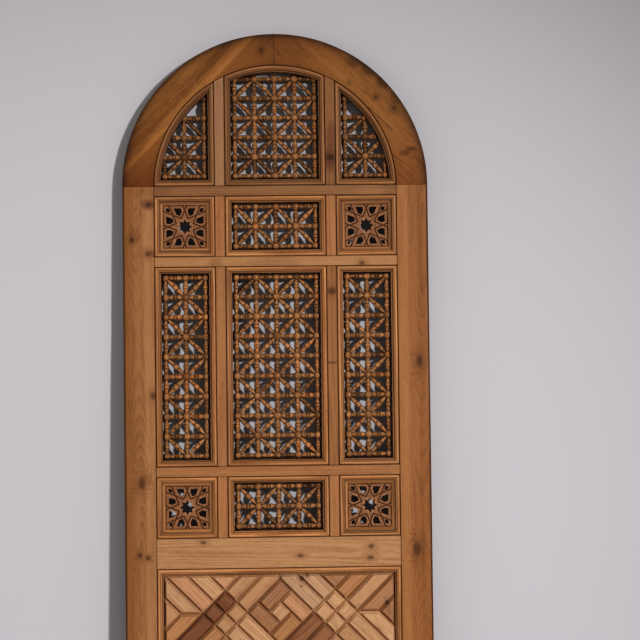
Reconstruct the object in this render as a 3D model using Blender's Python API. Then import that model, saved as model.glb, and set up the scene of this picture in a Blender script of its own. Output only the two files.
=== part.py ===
"""An old arched door leaf of solid pine, with turned lattices, pierced star panels and a parquetry panel.

The leaf stands upright. Its hinge edge lies in the plane X = 0, its front faces -Y, and the origin is on
the hinge edge at half the height of the stile. Pieces are laid out from the middle of the springing line.
"""

import itertools
import math

import bmesh
import bpy
from mathutils import Matrix, Vector

# Driving sizes, in metres.
LEAF_WIDTH = 0.750
LEAF_THICKNESS = 0.040
STILE_WIDTH = 0.0768
MUNTIN_WIDTH = 0.0242
MUNTIN_MIDDLE = 0.1364
JOINT = 0.0003
ARC_STEP = math.radians(9)
RIM_ARC_STEP = math.radians(5)

# The top of each rail below the springing line, and its height.
RAILS = {
    "arch_rail": (0.0, 0.0245),
    "upper_rail": (0.1740, 0.0245),
    "middle_rail": (0.6880, 0.0245),
    "lock_rail": (0.8620, 0.0740),
}
BOTTOM_RAIL_HEIGHT = 0.1010

# The moulding that frames each light is a bead, an ovolo and a lower fillet. Its section is given as distance
# from its outer edge and depth below the front.
MOULDING_WIDTH = 0.0157
MOULDING_DEPTH = 0.034
FILLET_FRONT = 0.0054
MOULDING_SECTION = (
    (0.0, MOULDING_DEPTH),
    (0.0, 0.0016),
    (0.0042, 0.0),
    (0.0088, 0.0010),
    (0.0125, FILLET_FRONT),
    (MOULDING_WIDTH, FILLET_FRONT),
    (MOULDING_WIDTH, MOULDING_DEPTH),
)

# The turned lattice: knobs joined by slim links.
KNOB_RADIUS = 0.0078
KNOB_DEPTH = 0.0090
KNOB_SIDES = 8
KNOB_MARGIN = 0.0092
LATTICE_DEPTH = 0.0220

# A knob is left out where its middle would be further than this under the curved moulding.
KNOB_COVER = 0.0025
ARCH_ROW_PITCH = 0.0483

# The pierced panels, with holes given from the middle in parts of half the panel's width.
STAR_PANEL_WIDTH = 0.1050
STAR_PANEL_FRONT = 0.0090
STAR_PANEL_BACK = 0.0200
STAR_FRAME_FRONT = FILLET_FRONT
STAR_FRAME_BACK = 0.0260
STAR_POINTS = 8
STAR_TIP = 0.345
STAR_VALLEY = 0.225
PETAL_HOLE = ((-0.50, 0.87), (-0.17, 0.87), (-0.13, 0.70), (-0.23, 0.51), (-0.39, 0.57))
CORNER_HOLE = ((0.88, 0.88), (0.73, 0.86), (0.68, 0.68), (0.86, 0.73))

# The parquetry panel: a grid of strips at 45 degrees, five strip widths to a repeat.
STRIP_DIAGONAL = 0.0538
PARQUET_FRONT = 0.0030
PARQUET_VALLEY = 0.0085
PARQUET_BACK = 0.0260
STRIP_BEVEL = 0.0070

# In strip widths: a repeat, half a pinwheel, and how far out the mitred strips at the edge begin.
REPEAT = 5
HALF_BLOCK = 1.5
CHEVRON_POINT = 3.5

# A tile too small for the full bevel has one that is this share of the circle that fits in it.
BEVEL_SHARE = 0.4

# Corners of the parquetry closer than this are one corner, and its corners are rounded to this many places.
TOUCH = 0.00001
PLACES = 6

FRONT = -LEAF_THICKNESS / 2
HALF_WIDTH = LEAF_WIDTH / 2
ARCH_RADIUS = HALF_WIDTH
OPENING = HALF_WIDTH - STILE_WIDTH
MUNTIN_INNER = MUNTIN_MIDDLE - MUNTIN_WIDTH / 2
MUNTIN_OUTER = MUNTIN_MIDDLE + MUNTIN_WIDTH / 2

# The lower panel is as tall as brings the slanted strips into its corners.
PANEL_INSET = MOULDING_WIDTH + 1.5 * JOINT
PANEL_HALF_WIDTH = OPENING - PANEL_INSET
PANEL_HALF_HEIGHT = PANEL_HALF_WIDTH + 1.5 * STRIP_DIAGONAL
PANEL_TOP = sum(RAILS["lock_rail"])
RAILS["bottom_rail"] = (PANEL_TOP + 2 * (PANEL_HALF_HEIGHT + PANEL_INSET), BOTTOM_RAIL_HEIGHT)
STILE_LENGTH = sum(RAILS["bottom_rail"])


def opening_below(upper, lower):
    """The clear space between two rails, as the depths of its top and bottom."""
    top, height = RAILS[upper]
    return top + height, RAILS[lower][0]


LIGHT_ROWS = {
    "arch": (-OPENING, RAILS["arch_rail"][0]),
    "upper": opening_below("arch_rail", "upper_rail"),
    "middle": opening_below("upper_rail", "middle_rail"),
    "lower": opening_below("middle_rail", "lock_rail"),
}
PANEL_ROW = opening_below("lock_rail", "bottom_rail")


def material(name, colour, roughness):
    made = bpy.data.materials.new(name)
    made.use_nodes = True
    shader = made.node_tree.nodes["Principled BSDF"]
    shader.inputs["Base Color"].default_value = (*colour, 1.0)
    shader.inputs["Roughness"].default_value = roughness
    shader.inputs["Metallic"].default_value = 0.0
    return made


def add_to_leaf(obj, finish):
    """Puts a finished piece in the door's collection, under the leaf's empty."""
    for collection in list(obj.users_collection):
        collection.objects.unlink(obj)
    DOOR.objects.link(obj)
    obj.parent = LEAF
    obj.data.materials.append(finish)
    return obj


def board(name, left, right, top, bottom, finish):
    """A plain board as thick as the leaf; top and bottom are depths below the springing line."""
    work = bmesh.new()
    size = Matrix.Diagonal((right - left, LEAF_THICKNESS, bottom - top, 1))
    bmesh.ops.create_cube(work, size=1.0, matrix=size)
    mesh = bpy.data.meshes.new(name)
    work.to_mesh(mesh)
    work.free()
    piece = bpy.data.objects.new(name, mesh)
    piece.location = ((left + right) / 2, 0, -(top + bottom) / 2)
    return add_to_leaf(piece, finish)


def upright_curve(name, loops):
    """A flat curve of closed loops, given as (x, height) points, standing in the plane of the leaf."""
    curve = bpy.data.curves.new(name, "CURVE")
    curve.dimensions = "2D"
    for loop in loops:
        spline = curve.splines.new("POLY")
        spline.points.add(len(loop) - 1)
        spline.use_cyclic_u = True
        spline.use_smooth = False
        for point, (x, height) in zip(spline.points, loop):
            point.co = (x, height, 0, 1)
    piece = bpy.data.objects.new(name, curve)
    piece.rotation_euler.x = math.pi / 2
    return piece


def cut_board(name, loops, front, back, finish):
    """A board with a shaped outline, and holes where it has more loops; depths are from the front."""
    piece = upright_curve(name, loops)
    piece.data.fill_mode = "BOTH"
    piece.data.extrude = (back - front) / 2
    piece.location.y = FRONT + (front + back) / 2
    return add_to_leaf(piece, finish)


def mitred_frame(name, path, section, finish):
    """A moulding with the given section, mitred round the inside of a closed path."""
    piece = upright_curve(name, [path])
    piece.data.fill_mode = "NONE"
    piece.data.bevel_mode = "OBJECT"
    piece.data.bevel_object = section
    piece.location.y = FRONT
    return add_to_leaf(piece, finish)


def section_curve(name, section):
    """The section as a closed curve, for the mouldings to be swept from."""
    curve = bpy.data.curves.new(name, "CURVE")
    curve.dimensions = "2D"
    curve.fill_mode = "NONE"
    spline = curve.splines.new("POLY")
    spline.points.add(len(section) - 1)
    spline.use_cyclic_u = True
    for point, (across, depth) in zip(spline.points, section):
        point.co = (across, -depth, 0, 1)
    guide = bpy.data.objects.new(name, curve)
    guide.hide_render = True
    guide.display_type = "WIRE"
    GUIDES.objects.link(guide)
    return guide


def arc(radius, start, end, longest=ARC_STEP):
    """Points on the head's curve, from one angle off the vertical to another, both ends included."""
    steps = max(1, math.ceil(abs(end - start) / longest - 1e-6))
    angles = [start + (end - start) * step / steps for step in range(steps + 1)]
    return [(radius * math.sin(angle), radius * math.cos(angle)) for angle in angles]


def mirrored(points):
    return [(-x, height) for x, height in reversed(points)]


def head_board(name, side):
    """One of the two curved boards of the round head, from the crown to the springing line."""
    rest = JOINT / 2
    inner = head_curve(OPENING + rest)
    outer = arc(ARCH_RADIUS, 0, math.pi / 2, RIM_ARC_STEP)
    loop = [(max(x, rest) * side, max(height, rest)) for x, height in inner + outer[::-1]]
    return cut_board(name, [loop], 0, LEAF_THICKNESS, PINE_HEAD)


def head_curve(radius):
    """The inside of the head on the right half, with a corner at each edge of the muntin that meets it."""
    turns = (0, math.asin(MUNTIN_INNER / radius), math.asin(MUNTIN_OUTER / radius), math.pi / 2)
    points = arc(radius, *turns[:2])
    for start, end in zip(turns[1:], turns[2:]):
        points += arc(radius, start, end)[1:]
    return points


def head_muntin(name, side):
    """The muntin of the top row, whose upper end is cut to the curve of the head."""
    rest = JOINT / 2
    inner, outer = MUNTIN_INNER + rest, MUNTIN_OUTER - rest
    radius = OPENING - rest
    top = arc(radius, math.asin(inner / radius), math.asin(outer / radius))
    loop = [(side * x, height) for x, height in [(inner, rest), (outer, rest)] + top[::-1]]
    cut_board(name, [loop], 0, LEAF_THICKNESS, PINE_FRAME)


def build_frame():
    """Stiles, head, rails and muntins, butted together with hairline joints."""
    rest = JOINT / 2
    board("stile_left", -HALF_WIDTH, -OPENING - rest, rest, STILE_LENGTH, PINE_FRAME)
    board("stile_right", OPENING + rest, HALF_WIDTH, rest, STILE_LENGTH, PINE_FRAME)
    head_board("head_left", -1)
    head_board("head_right", 1)
    for name, (top, height) in RAILS.items():
        board(name, -OPENING + rest, OPENING - rest, top + rest, top + height - rest, PINE_FRAME)
    for side, hand in ((-1, "left"), (1, "right")):
        head_muntin(f"muntin_arch_{hand}", side)
        left, right = sorted((side * (MUNTIN_INNER + rest), side * (MUNTIN_OUTER - rest)))
        for row in ("upper", "middle", "lower"):
            top, bottom = LIGHT_ROWS[row]
            board(f"muntin_{row}_{hand}", left, right, top + rest, bottom - rest, PINE_FRAME)


def light_edges(row, place):
    """The nominal edges of one light: left, right, top and bottom, the last two as depths."""
    top, bottom = LIGHT_ROWS[row]
    left, right = {
        "left": (-OPENING, -MUNTIN_OUTER),
        "centre": (-MUNTIN_INNER, MUNTIN_INNER),
        "right": (MUNTIN_OUTER, OPENING),
    }[place]
    return left, right, top, bottom


def rectangle(left, right, top, bottom, inset):
    """A rectangle's corners, anticlockwise, drawn in by the inset."""
    left, right, top, bottom = left + inset, right - inset, -top - inset, -bottom + inset
    return [(left, bottom), (right, bottom), (right, top), (left, top)]


def arch_path(place, inset):
    """The outline of a light under the head, anticlockwise, drawn in by the inset."""
    radius = OPENING - inset
    if place == "centre":
        edge = MUNTIN_INNER - inset
        half = arc(radius, 0, math.asin(edge / radius))
        return [(-edge, inset), (edge, inset)] + half[::-1] + mirrored(half)[::-1][1:]
    edge = MUNTIN_OUTER + inset
    curve = arc(radius, math.asin(edge / radius), math.pi / 2)
    path = [(edge, inset)] + [(x, max(height, inset)) for x, height in curve[::-1]]
    return path if place == "right" else mirrored(path)


def build_mouldings(section):
    """A moulding mitred round every light and round the lower panel."""
    rest = JOINT / 2
    for row in LIGHT_ROWS:
        for place in ("left", "centre", "right"):
            if row == "arch":
                path = arch_path(place, rest)
            else:
                path = rectangle(*light_edges(row, place), rest)
            mitred_frame(f"moulding_{row}_{place}", path, section, PINE_MOULDING)
    mitred_frame("moulding_panel", rectangle(-OPENING, OPENING, *PANEL_ROW, rest), section, PINE_MOULDING)


# A lattice's links leave a knob in eight directions, an eighth of a turn apart.
NEIGHBOURS = ((1, 0), (1, 1), (0, 1), (-1, 1), (-1, 0), (-1, -1), (0, -1), (1, -1))
ARC_SINK = OPENING * (1 - math.cos(ARC_STEP / 2))


class Lattice:
    """Knobs on a grid, each joined to its neighbours; every second knob is a star with diagonal links too."""

    def __init__(self, columns, heights, star_parity, edges, arc_radius):
        self.columns = columns
        self.heights = heights
        self.star_parity = star_parity
        self.edges = edges
        self.arc_radius = arc_radius
        self.arc_limit = arc_radius - ARC_SINK - JOINT
        self.work = bmesh.new()
        self.sides = {}

    def on_grid(self, column, row):
        return 0 <= column < len(self.columns) and 0 <= row < len(self.heights)

    def fits(self, column, row):
        """Whether a knob stands here, and isn't mostly under the curved moulding."""
        if not self.on_grid(column, row):
            return False
        return math.hypot(self.columns[column], self.heights[row]) < self.arc_radius + KNOB_COVER

    def at_arc(self, column, row):
        return math.hypot(self.columns[column], self.heights[row]) > self.arc_limit - KNOB_RADIUS

    def is_star(self, column, row):
        return (column + row) % 2 == self.star_parity

    def add_knob(self, column, row):
        """An eight-sided knob; its side faces are kept in the order of NEIGHBOURS."""
        centre = Vector((self.columns[column], 0, self.heights[row]))
        corner = KNOB_RADIUS / math.cos(math.pi / KNOB_SIDES)
        turn = Matrix.Rotation(math.pi / 2, 4, "X") @ Matrix.Rotation(math.pi / KNOB_SIDES, 4, "Z")
        made = bmesh.ops.create_cone(
            self.work,
            cap_ends=True,
            segments=KNOB_SIDES,
            radius1=corner,
            radius2=corner,
            depth=KNOB_DEPTH,
            matrix=Matrix.Translation(centre) @ turn,
        )
        faces = {face for vert in made["verts"] for face in vert.link_faces if len(face.verts) == 4}
        for face in faces:
            out = face.calc_center_median() - centre
            step = round(math.atan2(out.z, out.x) / (math.tau / KNOB_SIDES)) % KNOB_SIDES
            self.sides[column, row, step] = face

    def join(self, near, far):
        """A straight link between two facing sides."""
        edges = list(near.edges) + list(far.edges)
        bmesh.ops.delete(self.work, geom=[near, far], context="FACES_ONLY")
        bmesh.ops.bridge_loops(self.work, edges=edges)

    def cut_to_arc(self):
        """Draws in every corner that would be under the curved moulding."""
        for vert in self.work.verts:
            reach = math.hypot(vert.co.x, vert.co.z)
            if reach > self.arc_limit:
                vert.co.x *= self.arc_limit / reach
                vert.co.z *= self.arc_limit / reach

    def meets_arc(self, face):
        reach = max(math.hypot(vert.co.x, vert.co.z) for vert in face.verts)
        return reach > self.arc_limit - JOINT

    def reach_arc(self, face, direction):
        """Moves each corner of a side along a direction until it is just short of the curved moulding."""
        for vert in face.verts:
            along = vert.co.dot(direction)
            apart = vert.co.x**2 + vert.co.z**2 - self.arc_limit**2
            vert.co += direction * (math.sqrt(along**2 - apart) - along)

    def reach_edge(self, face, direction):
        """Draws a side out into a short tenon that ends just short of the moulding."""
        left, right, top, bottom = self.edges
        for vert in face.verts:
            if direction.z == 0:
                vert.co.x = right - JOINT if direction.x > 0 else left + JOINT
            else:
                vert.co.z = top - JOINT if direction.z > 0 else bottom + JOINT
        if self.meets_arc(face):
            self.reach_arc(face, direction)

    def finish_side(self, column, row, step):
        """Joins one side of a knob to its neighbour, or runs it out to the moulding."""
        across, up = NEIGHBOURS[step]
        other = column + across, row + up
        diagonal = across != 0 and up != 0
        face = self.sides[column, row, step]
        direction = Vector((across, 0, up)).normalized()
        if diagonal and not (self.is_star(column, row) and self.on_grid(*other)):
            return
        if diagonal and self.at_arc(column, row) and self.at_arc(*other):
            return
        if self.fits(*other):
            if step < KNOB_SIDES / 2:
                self.join(face, self.sides[other[0], other[1], step + KNOB_SIDES // 2])
        elif self.meets_arc(face):
            return
        elif self.on_grid(*other):
            far = bmesh.ops.extrude_discrete_faces(self.work, faces=[face])["faces"][0]
            self.reach_arc(far, direction)
        else:
            self.reach_edge(face, direction)

    def build(self, name):
        grid = itertools.product(range(len(self.columns)), range(len(self.heights)))
        spots = [spot for spot in grid if self.fits(*spot)]
        for spot in spots:
            self.add_knob(*spot)
        self.cut_to_arc()
        for spot in spots:
            for step in range(KNOB_SIDES):
                self.finish_side(*spot, step)
        bmesh.ops.recalc_face_normals(self.work, faces=self.work.faces)
        mesh = bpy.data.meshes.new(name)
        self.work.to_mesh(mesh)
        self.work.free()
        piece = bpy.data.objects.new(name, mesh)
        piece.location.y = FRONT + LATTICE_DEPTH
        return add_to_leaf(piece, PINE_LATTICE)


def spaced(start, end, count):
    """Evenly spaced places from start to end."""
    return [start + (end - start) * step / (count - 1) for step in range(count)]


def inner_edges(row, place):
    """The inside of a light's moulding: left, right, top and bottom as heights."""
    left, right, top, bottom = light_edges(row, place)
    inset = MOULDING_WIDTH + JOINT / 2
    return left + inset, right - inset, -top - inset, -bottom + inset


def build_lattices():
    """The turned lattices, one to a light; the arch's are cut to the curve of the head."""
    arc_radius = OPENING - JOINT / 2 - MOULDING_WIDTH
    lattices = (
        ("arch", "left", 3, 5, 0),
        ("arch", "centre", 5, 6, 0),
        ("arch", "right", 3, 5, 0),
        ("upper", "centre", 5, 3, 0),
        ("middle", "left", 3, 10, 1),
        ("middle", "centre", 5, 10, 0),
        ("middle", "right", 3, 10, 1),
        ("lower", "centre", 5, 3, 0),
    )
    for row, place, across, down, star_parity in lattices:
        edges = inner_edges(row, place)
        left, right, top, bottom = edges
        columns = spaced(left + KNOB_MARGIN, right - KNOB_MARGIN, across)
        lowest = bottom + KNOB_MARGIN
        highest = lowest + (down - 1) * ARCH_ROW_PITCH if row == "arch" else top - KNOB_MARGIN
        heights = spaced(lowest, highest, down)
        lattice = Lattice(columns, heights, star_parity, edges, arc_radius if row == "arch" else math.inf)
        lattice.build(f"lattice_{row}_{place}")


def turned(points, quarter):
    """Points turned by quarters of a circle about the middle."""
    for _ in range(quarter):
        points = [(-y, x) for x, y in points]
    return points


def star_outline():
    """The eight-pointed hole in the middle, its tips and valleys by turns."""
    points = []
    for step in range(2 * STAR_POINTS):
        reach = STAR_VALLEY if step % 2 else STAR_TIP
        angle = step * math.pi / STAR_POINTS
        points.append((reach * math.sin(angle), reach * math.cos(angle)))
    return points


def star_panel_loops():
    """The panel's edge and all its holes, in parts of half its width."""
    loops = [[(-1, -1), (1, -1), (1, 1), (-1, 1)], star_outline()]
    for quarter in range(4):
        loops.append(turned(PETAL_HOLE, quarter))
        loops.append(turned(mirrored(PETAL_HOLE), quarter))
        loops.append(turned(CORNER_HOLE, quarter))
    return loops


def build_star_panels():
    """A pierced panel in a plain splayed frame, left and right in the upper and the lower row of lights."""
    half = STAR_PANEL_WIDTH / 2
    for row in ("upper", "lower"):
        for place in ("left", "right"):
            left, right, top, bottom = inner_edges(row, place)
            across, up = (left + right) / 2, (top + bottom) / 2
            loops = [[(across + x * half, up + y * half) for x, y in loop] for loop in star_panel_loops()]
            cut_board(f"star_panel_{row}_{place}", loops, STAR_PANEL_FRONT, STAR_PANEL_BACK, PINE_STAR)
            splay = (right - left) / 2 - half - 2 * JOINT
            corners = (
                (0.0, STAR_FRAME_BACK),
                (0.0, STAR_FRAME_FRONT),
                (splay, STAR_PANEL_FRONT - JOINT),
                (splay, STAR_FRAME_BACK),
            )
            section = section_curve(f"star_frame_section_{row}_{place}", corners)
            path = rectangle(left, right, -top, -bottom, JOINT)
            mitred_frame(f"star_frame_{row}_{place}", path, section, PINE_MOULDING)


def clipped(polygon, across, down, limit):
    """The part of a polygon where across * x + down * depth is at most the limit."""
    kept = []
    for here, after in zip(polygon, polygon[1:] + polygon[:1]):
        over_here = across * here[0] + down * here[1] - limit
        over_after = across * after[0] + down * after[1] - limit
        if over_here <= 0:
            kept.append(here)
        if over_here * over_after < 0:
            share = over_here / (over_here - over_after)
            kept.append(tuple(a + (b - a) * share for a, b in zip(here, after)))
    return kept


def tile(first, last, low, high):
    """A rectangle on the slanted grid, from first to last strip one way and low to high the other."""
    corners = ((first, low), (last, low), (last, high), (first, high))
    return [((s + t) / 2 * STRIP_DIAGONAL, (s - t) / 2 * STRIP_DIAGONAL) for s, t in corners]


def pinwheel_tiles(s, t, whole):
    """Four tiles turning round a block, or one plain tile where only a corner of it is in the panel."""
    if not whole:
        return [tile(s - HALF_BLOCK, s + HALF_BLOCK, t - HALF_BLOCK, t + HALF_BLOCK)]
    return [
        tile(s - HALF_BLOCK, s - 0.5, t - 0.5, t + HALF_BLOCK),
        tile(s - 0.5, s + HALF_BLOCK, t + 0.5, t + HALF_BLOCK),
        tile(s + 0.5, s + HALF_BLOCK, t - HALF_BLOCK, t + 0.5),
        tile(s - HALF_BLOCK, s + 0.5, t - HALF_BLOCK, t - 0.5),
        tile(s - 0.5, s + 0.5, t - 0.5, t + 0.5),
    ]


def arm_tiles(near, far, near_whole, far_whole):
    """The pair of strips between two knots; it runs on to the panel's edge where a knot is beyond it."""
    start, end = 1 - (not near_whole), REPEAT - 1 + (not far_whole)
    found = []
    for low in (-1, 0):
        if far[0] > near[0]:
            strip = tile(near[0] + start, near[0] + end, near[1] + low, near[1] + low + 1)
        else:
            strip = tile(near[0] + low, near[0] + low + 1, near[1] + start, near[1] + end)
        for beyond, other, whole in ((near, far, near_whole), (far, near, far_whole)):
            if not whole and sum(beyond) == 0:
                side = math.copysign(1, sum(other))
                strip = clipped(strip, -side, 0, 0)
        found.append(strip)
    return found


def parquet_tiles(half_width, half_height):
    """Every tile of the lower panel as (x, depth) points from its middle, cut to the panel's edges."""
    unit = STRIP_DIAGONAL
    reach = math.ceil((half_width + half_height) / (REPEAT * unit))
    grid = [REPEAT * step for step in range(-reach, reach + 1)]
    found = []

    def inside(s, t):
        return abs(s - t) / 2 * unit < half_height

    def off_middle(s, t):
        return abs(s + t) / 2 * unit

    for s in grid:
        for t in grid:
            if off_middle(s, t) < half_width - unit:
                found += pinwheel_tiles(s, t, inside(s, t))
            knot = s + REPEAT / 2, t + REPEAT / 2
            if off_middle(*knot) > half_width:
                continue
            if inside(*knot):
                for low_s in (-1, 0):
                    for low_t in (-1, 0):
                        first, low = knot[0] + low_s, knot[1] + low_t
                        found.append(tile(first, first + 1, low, low + 1))
            for far in ((knot[0] + REPEAT, knot[1]), (knot[0], knot[1] + REPEAT)):
                if off_middle(*far) < half_width and (inside(*knot) or inside(*far)):
                    found += arm_tiles(knot, far, inside(*knot), inside(*far))
    for side in (-1, 1):
        for middle in (-REPEAT * unit, 0, REPEAT * unit):
            found += edge_chevron(side, middle, half_width)
    edges = ((1, 0, half_width), (-1, 0, half_width), (0, 1, half_height), (0, -1, half_height))
    kept = []
    for polygon in found:
        for edge in edges:
            polygon = clipped(polygon, *edge)
        if len(polygon) > 2:
            kept.append(polygon)
    return kept


def edge_chevron(side, middle, half_width):
    """Two strips mitred round a small triangle, where the panel's edge would cut a pinwheel in half."""
    unit = STRIP_DIAGONAL
    point = CHEVRON_POINT * unit
    rise = half_width - point
    found = []
    for way in (-1, 1):
        found.append(
            [
                (side * point, middle),
                (side * half_width, middle + way * rise),
                (side * half_width, middle + way * (rise - unit)),
                (side * (point + unit), middle),
            ]
        )
    low, high = middle - (rise - unit), middle + (rise - unit)
    found.append([(side * (point + unit), middle), (side * half_width, low), (side * half_width, high)])
    return found


def on_edge(point, start, end):
    """Whether a point lies on the line between two others, apart from its ends."""
    along = Vector(end) - Vector(start)
    away = Vector(point) - Vector(start)
    share = away.dot(along) / along.length_squared
    return TOUCH < share * along.length < along.length - TOUCH and (away - along * share).length < TOUCH


def with_shared_corners(polygons):
    """The same polygons, each with a corner wherever a neighbour's corner meets one of its edges."""
    polygons = [[(round(x, PLACES), round(depth, PLACES)) for x, depth in polygon] for polygon in polygons]
    corners = {corner for polygon in polygons for corner in polygon}
    shared = []
    for polygon in polygons:
        full = []
        for here, after in zip(polygon, polygon[1:] + polygon[:1]):
            between = [corner for corner in corners if on_edge(corner, here, after)]
            between.sort(key=lambda corner: math.dist(corner, here))
            full += [here] + between
        shared.append(full)
    return shared


def build_parquet():
    """The lower panel: raised tiles with broad bevels that meet in valleys, on one solid board."""
    work = bmesh.new()
    corners = {}
    tiles = []
    for polygon in with_shared_corners(parquet_tiles(PANEL_HALF_WIDTH, PANEL_HALF_HEIGHT)):
        for corner in polygon:
            if corner not in corners:
                corners[corner] = work.verts.new((corner[0], PARQUET_VALLEY, -corner[1]))
        tiles.append(work.faces.new([corners[corner] for corner in polygon]))
    bmesh.ops.recalc_face_normals(work, faces=tiles)
    rim = [edge for edge in work.edges if edge.is_boundary]
    walls = bmesh.ops.extrude_edge_only(work, edges=rim)["geom"]
    for item in walls:
        if isinstance(item, bmesh.types.BMVert):
            item.co.y = PARQUET_BACK
    bmesh.ops.holes_fill(work, edges=[edge for edge in work.edges if edge.is_boundary])
    bmesh.ops.recalc_face_normals(work, faces=work.faces)
    for face in tiles:
        around = sum(edge.calc_length() for edge in face.edges)
        bevel = min(STRIP_BEVEL, BEVEL_SHARE * 2 * face.calc_area() / around)
        rise = (PARQUET_VALLEY - PARQUET_FRONT) * bevel / STRIP_BEVEL
        bmesh.ops.inset_individual(work, faces=[face], thickness=bevel, depth=rise, use_even_offset=True)
    mesh = bpy.data.meshes.new("lower_panel")
    work.to_mesh(mesh)
    work.free()
    piece = bpy.data.objects.new("lower_panel", mesh)
    piece.location = (0, FRONT, -sum(PANEL_ROW) / 2)
    add_to_leaf(piece, PINE_PARQUET)


for old in list(bpy.data.objects):
    bpy.data.objects.remove(old)

DOOR = bpy.data.collections.new("arched_door_leaf")
GUIDES = bpy.data.collections.new("moulding_sections")
bpy.context.scene.collection.children.link(DOOR)
bpy.context.scene.collection.children.link(GUIDES)
LEAF = bpy.data.objects.new("leaf", None)
LEAF.location = (HALF_WIDTH, 0, STILE_LENGTH / 2)
DOOR.objects.link(LEAF)

PINE_FRAME = material("pine_frame", (0.36, 0.17, 0.075), 0.62)
PINE_HEAD = material("pine_head", (0.24, 0.095, 0.035), 0.6)
PINE_MOULDING = material("pine_moulding", (0.37, 0.18, 0.08), 0.6)
PINE_LATTICE = material("pine_lattice", (0.30, 0.13, 0.055), 0.6)
PINE_STAR = material("pine_star", (0.33, 0.15, 0.065), 0.62)
PINE_PARQUET = material("pine_parquet", (0.33, 0.15, 0.07), 0.62)

build_frame()
build_mouldings(section_curve("moulding_section", MOULDING_SECTION))
build_lattices()
build_star_panels()
build_parquet()
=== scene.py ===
import math
import random

import bpy
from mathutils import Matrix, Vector, geometry, noise


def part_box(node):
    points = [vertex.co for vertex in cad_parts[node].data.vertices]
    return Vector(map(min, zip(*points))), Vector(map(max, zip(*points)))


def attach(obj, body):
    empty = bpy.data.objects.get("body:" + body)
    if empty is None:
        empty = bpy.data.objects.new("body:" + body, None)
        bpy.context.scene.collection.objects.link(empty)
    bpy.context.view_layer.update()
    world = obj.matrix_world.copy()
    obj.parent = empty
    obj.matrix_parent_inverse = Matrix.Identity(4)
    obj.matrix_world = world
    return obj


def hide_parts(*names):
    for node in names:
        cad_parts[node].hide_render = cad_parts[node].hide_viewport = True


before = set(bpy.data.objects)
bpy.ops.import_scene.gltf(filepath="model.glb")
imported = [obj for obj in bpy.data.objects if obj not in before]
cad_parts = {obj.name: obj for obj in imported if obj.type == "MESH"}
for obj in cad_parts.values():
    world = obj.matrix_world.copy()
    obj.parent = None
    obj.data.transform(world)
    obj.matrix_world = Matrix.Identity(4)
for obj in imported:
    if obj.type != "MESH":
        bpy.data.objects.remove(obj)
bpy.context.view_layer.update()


# ---------------------------------------------------------------------------------------------
# The frame. Two stiles, five rails and eight muntins, planed from old pine 40 mm thick and
# tenoned together. The arrises are worn round; every joint is darker, partly from wax gone dark
# and partly from painted shade.
# ---------------------------------------------------------------------------------------------

hinge_low, hinge_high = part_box("stile_left")
lock_low, lock_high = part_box("stile_right")
leaf_front, leaf_back = hinge_low.y, hinge_high.y
leaf_middle = (hinge_low.x + lock_high.x) / 2
mid_depth = (leaf_front + leaf_back) / 2
half_thick = (leaf_back - leaf_front) / 2
springing_line = (hinge_high.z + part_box("head_left")[0].z) / 2
arris = 0.0009
back_arris = 0.0008
edge_zone = 0.005
station_gap = 0.03
leaf_pieces = bpy.data.collections.new("leaf_pieces")


class Workpiece:
    """Parts glued up into one piece. Every part keeps its own run of the grain and its own tints, which hold
    its stains and painted shade.
    """

    def __init__(self):
        self.points, self.grain, self.stain, self.faces = [], [], [], []

    def add(self, points, grain, faces, stain):
        """Adds one closed part; the faces are turned round if they would look inwards."""
        first = len(self.points)
        volume = 0
        for face in faces:
            a = points[face[0]]
            for b, c in zip(face[1:], face[2:]):
                volume += a.dot(points[b].cross(points[c]))
        if volume < 0:
            faces = [face[::-1] for face in faces]
        self.points += points
        self.grain += grain
        self.stain += stain if isinstance(stain, list) else [stain] * len(points)
        self.faces += [tuple(first + corner for corner in face) for face in faces]

    def finish(self, name, node, slot, coat):
        """Makes the piece, puts it in the place of its solid and fixes it to the leaf."""
        mesh = bpy.data.meshes.new(name)
        mesh.from_pydata(self.points, [], self.faces)
        lines = mesh.attributes.new("grain", "FLOAT_VECTOR", "POINT")
        lines.data.foreach_set("vector", [value for place in self.grain for value in place])
        # Per-point tints: the wood's stains together with painted shade and painted highlight.
        tint = mesh.attributes.new("stain", "FLOAT_COLOR", "POINT")
        tint.data.foreach_set("color", [value for colour in self.stain for value in (*colour, 1.0)])
        mesh.polygons.foreach_set("use_smooth", [True] * len(mesh.polygons))
        mesh.set_sharp_from_angle(angle=math.radians(32))
        mesh.materials.append(coat)
        piece = bpy.data.objects.new(name, mesh)
        bpy.context.scene.collection.objects.link(piece)
        leaf_pieces.objects.link(piece)
        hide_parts(node)
        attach(piece, "root")


def loft(rings):
    """A closed bar through rings of (point, grain) pairs, as points, grain and faces."""
    count = len(rings[0])
    points = [point for ring in rings for point, _ in ring]
    grain = [place for ring in rings for _, place in ring]
    faces = []
    for low in range(0, (len(rings) - 1) * count, count):
        for place in range(count):
            after = (place + 1) % count
            faces.append((low + place, low + after, low + count + after, low + count + place))
    faces.append(tuple(range(count))[::-1])
    faces.append(tuple(range((len(rings) - 1) * count, len(rings) * count)))
    return points, grain, faces


def tone_at(tones, reach):
    """The tint at one place of a table of (place, tint) pairs."""
    for (near, first), (far, last) in zip(tones, tones[1:]):
        if reach <= far:
            share = max(0.0, (reach - near) / (far - near))
            return tuple(a + (b - a) * share for a, b in zip(first, last))
    return tones[-1][1]


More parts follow.
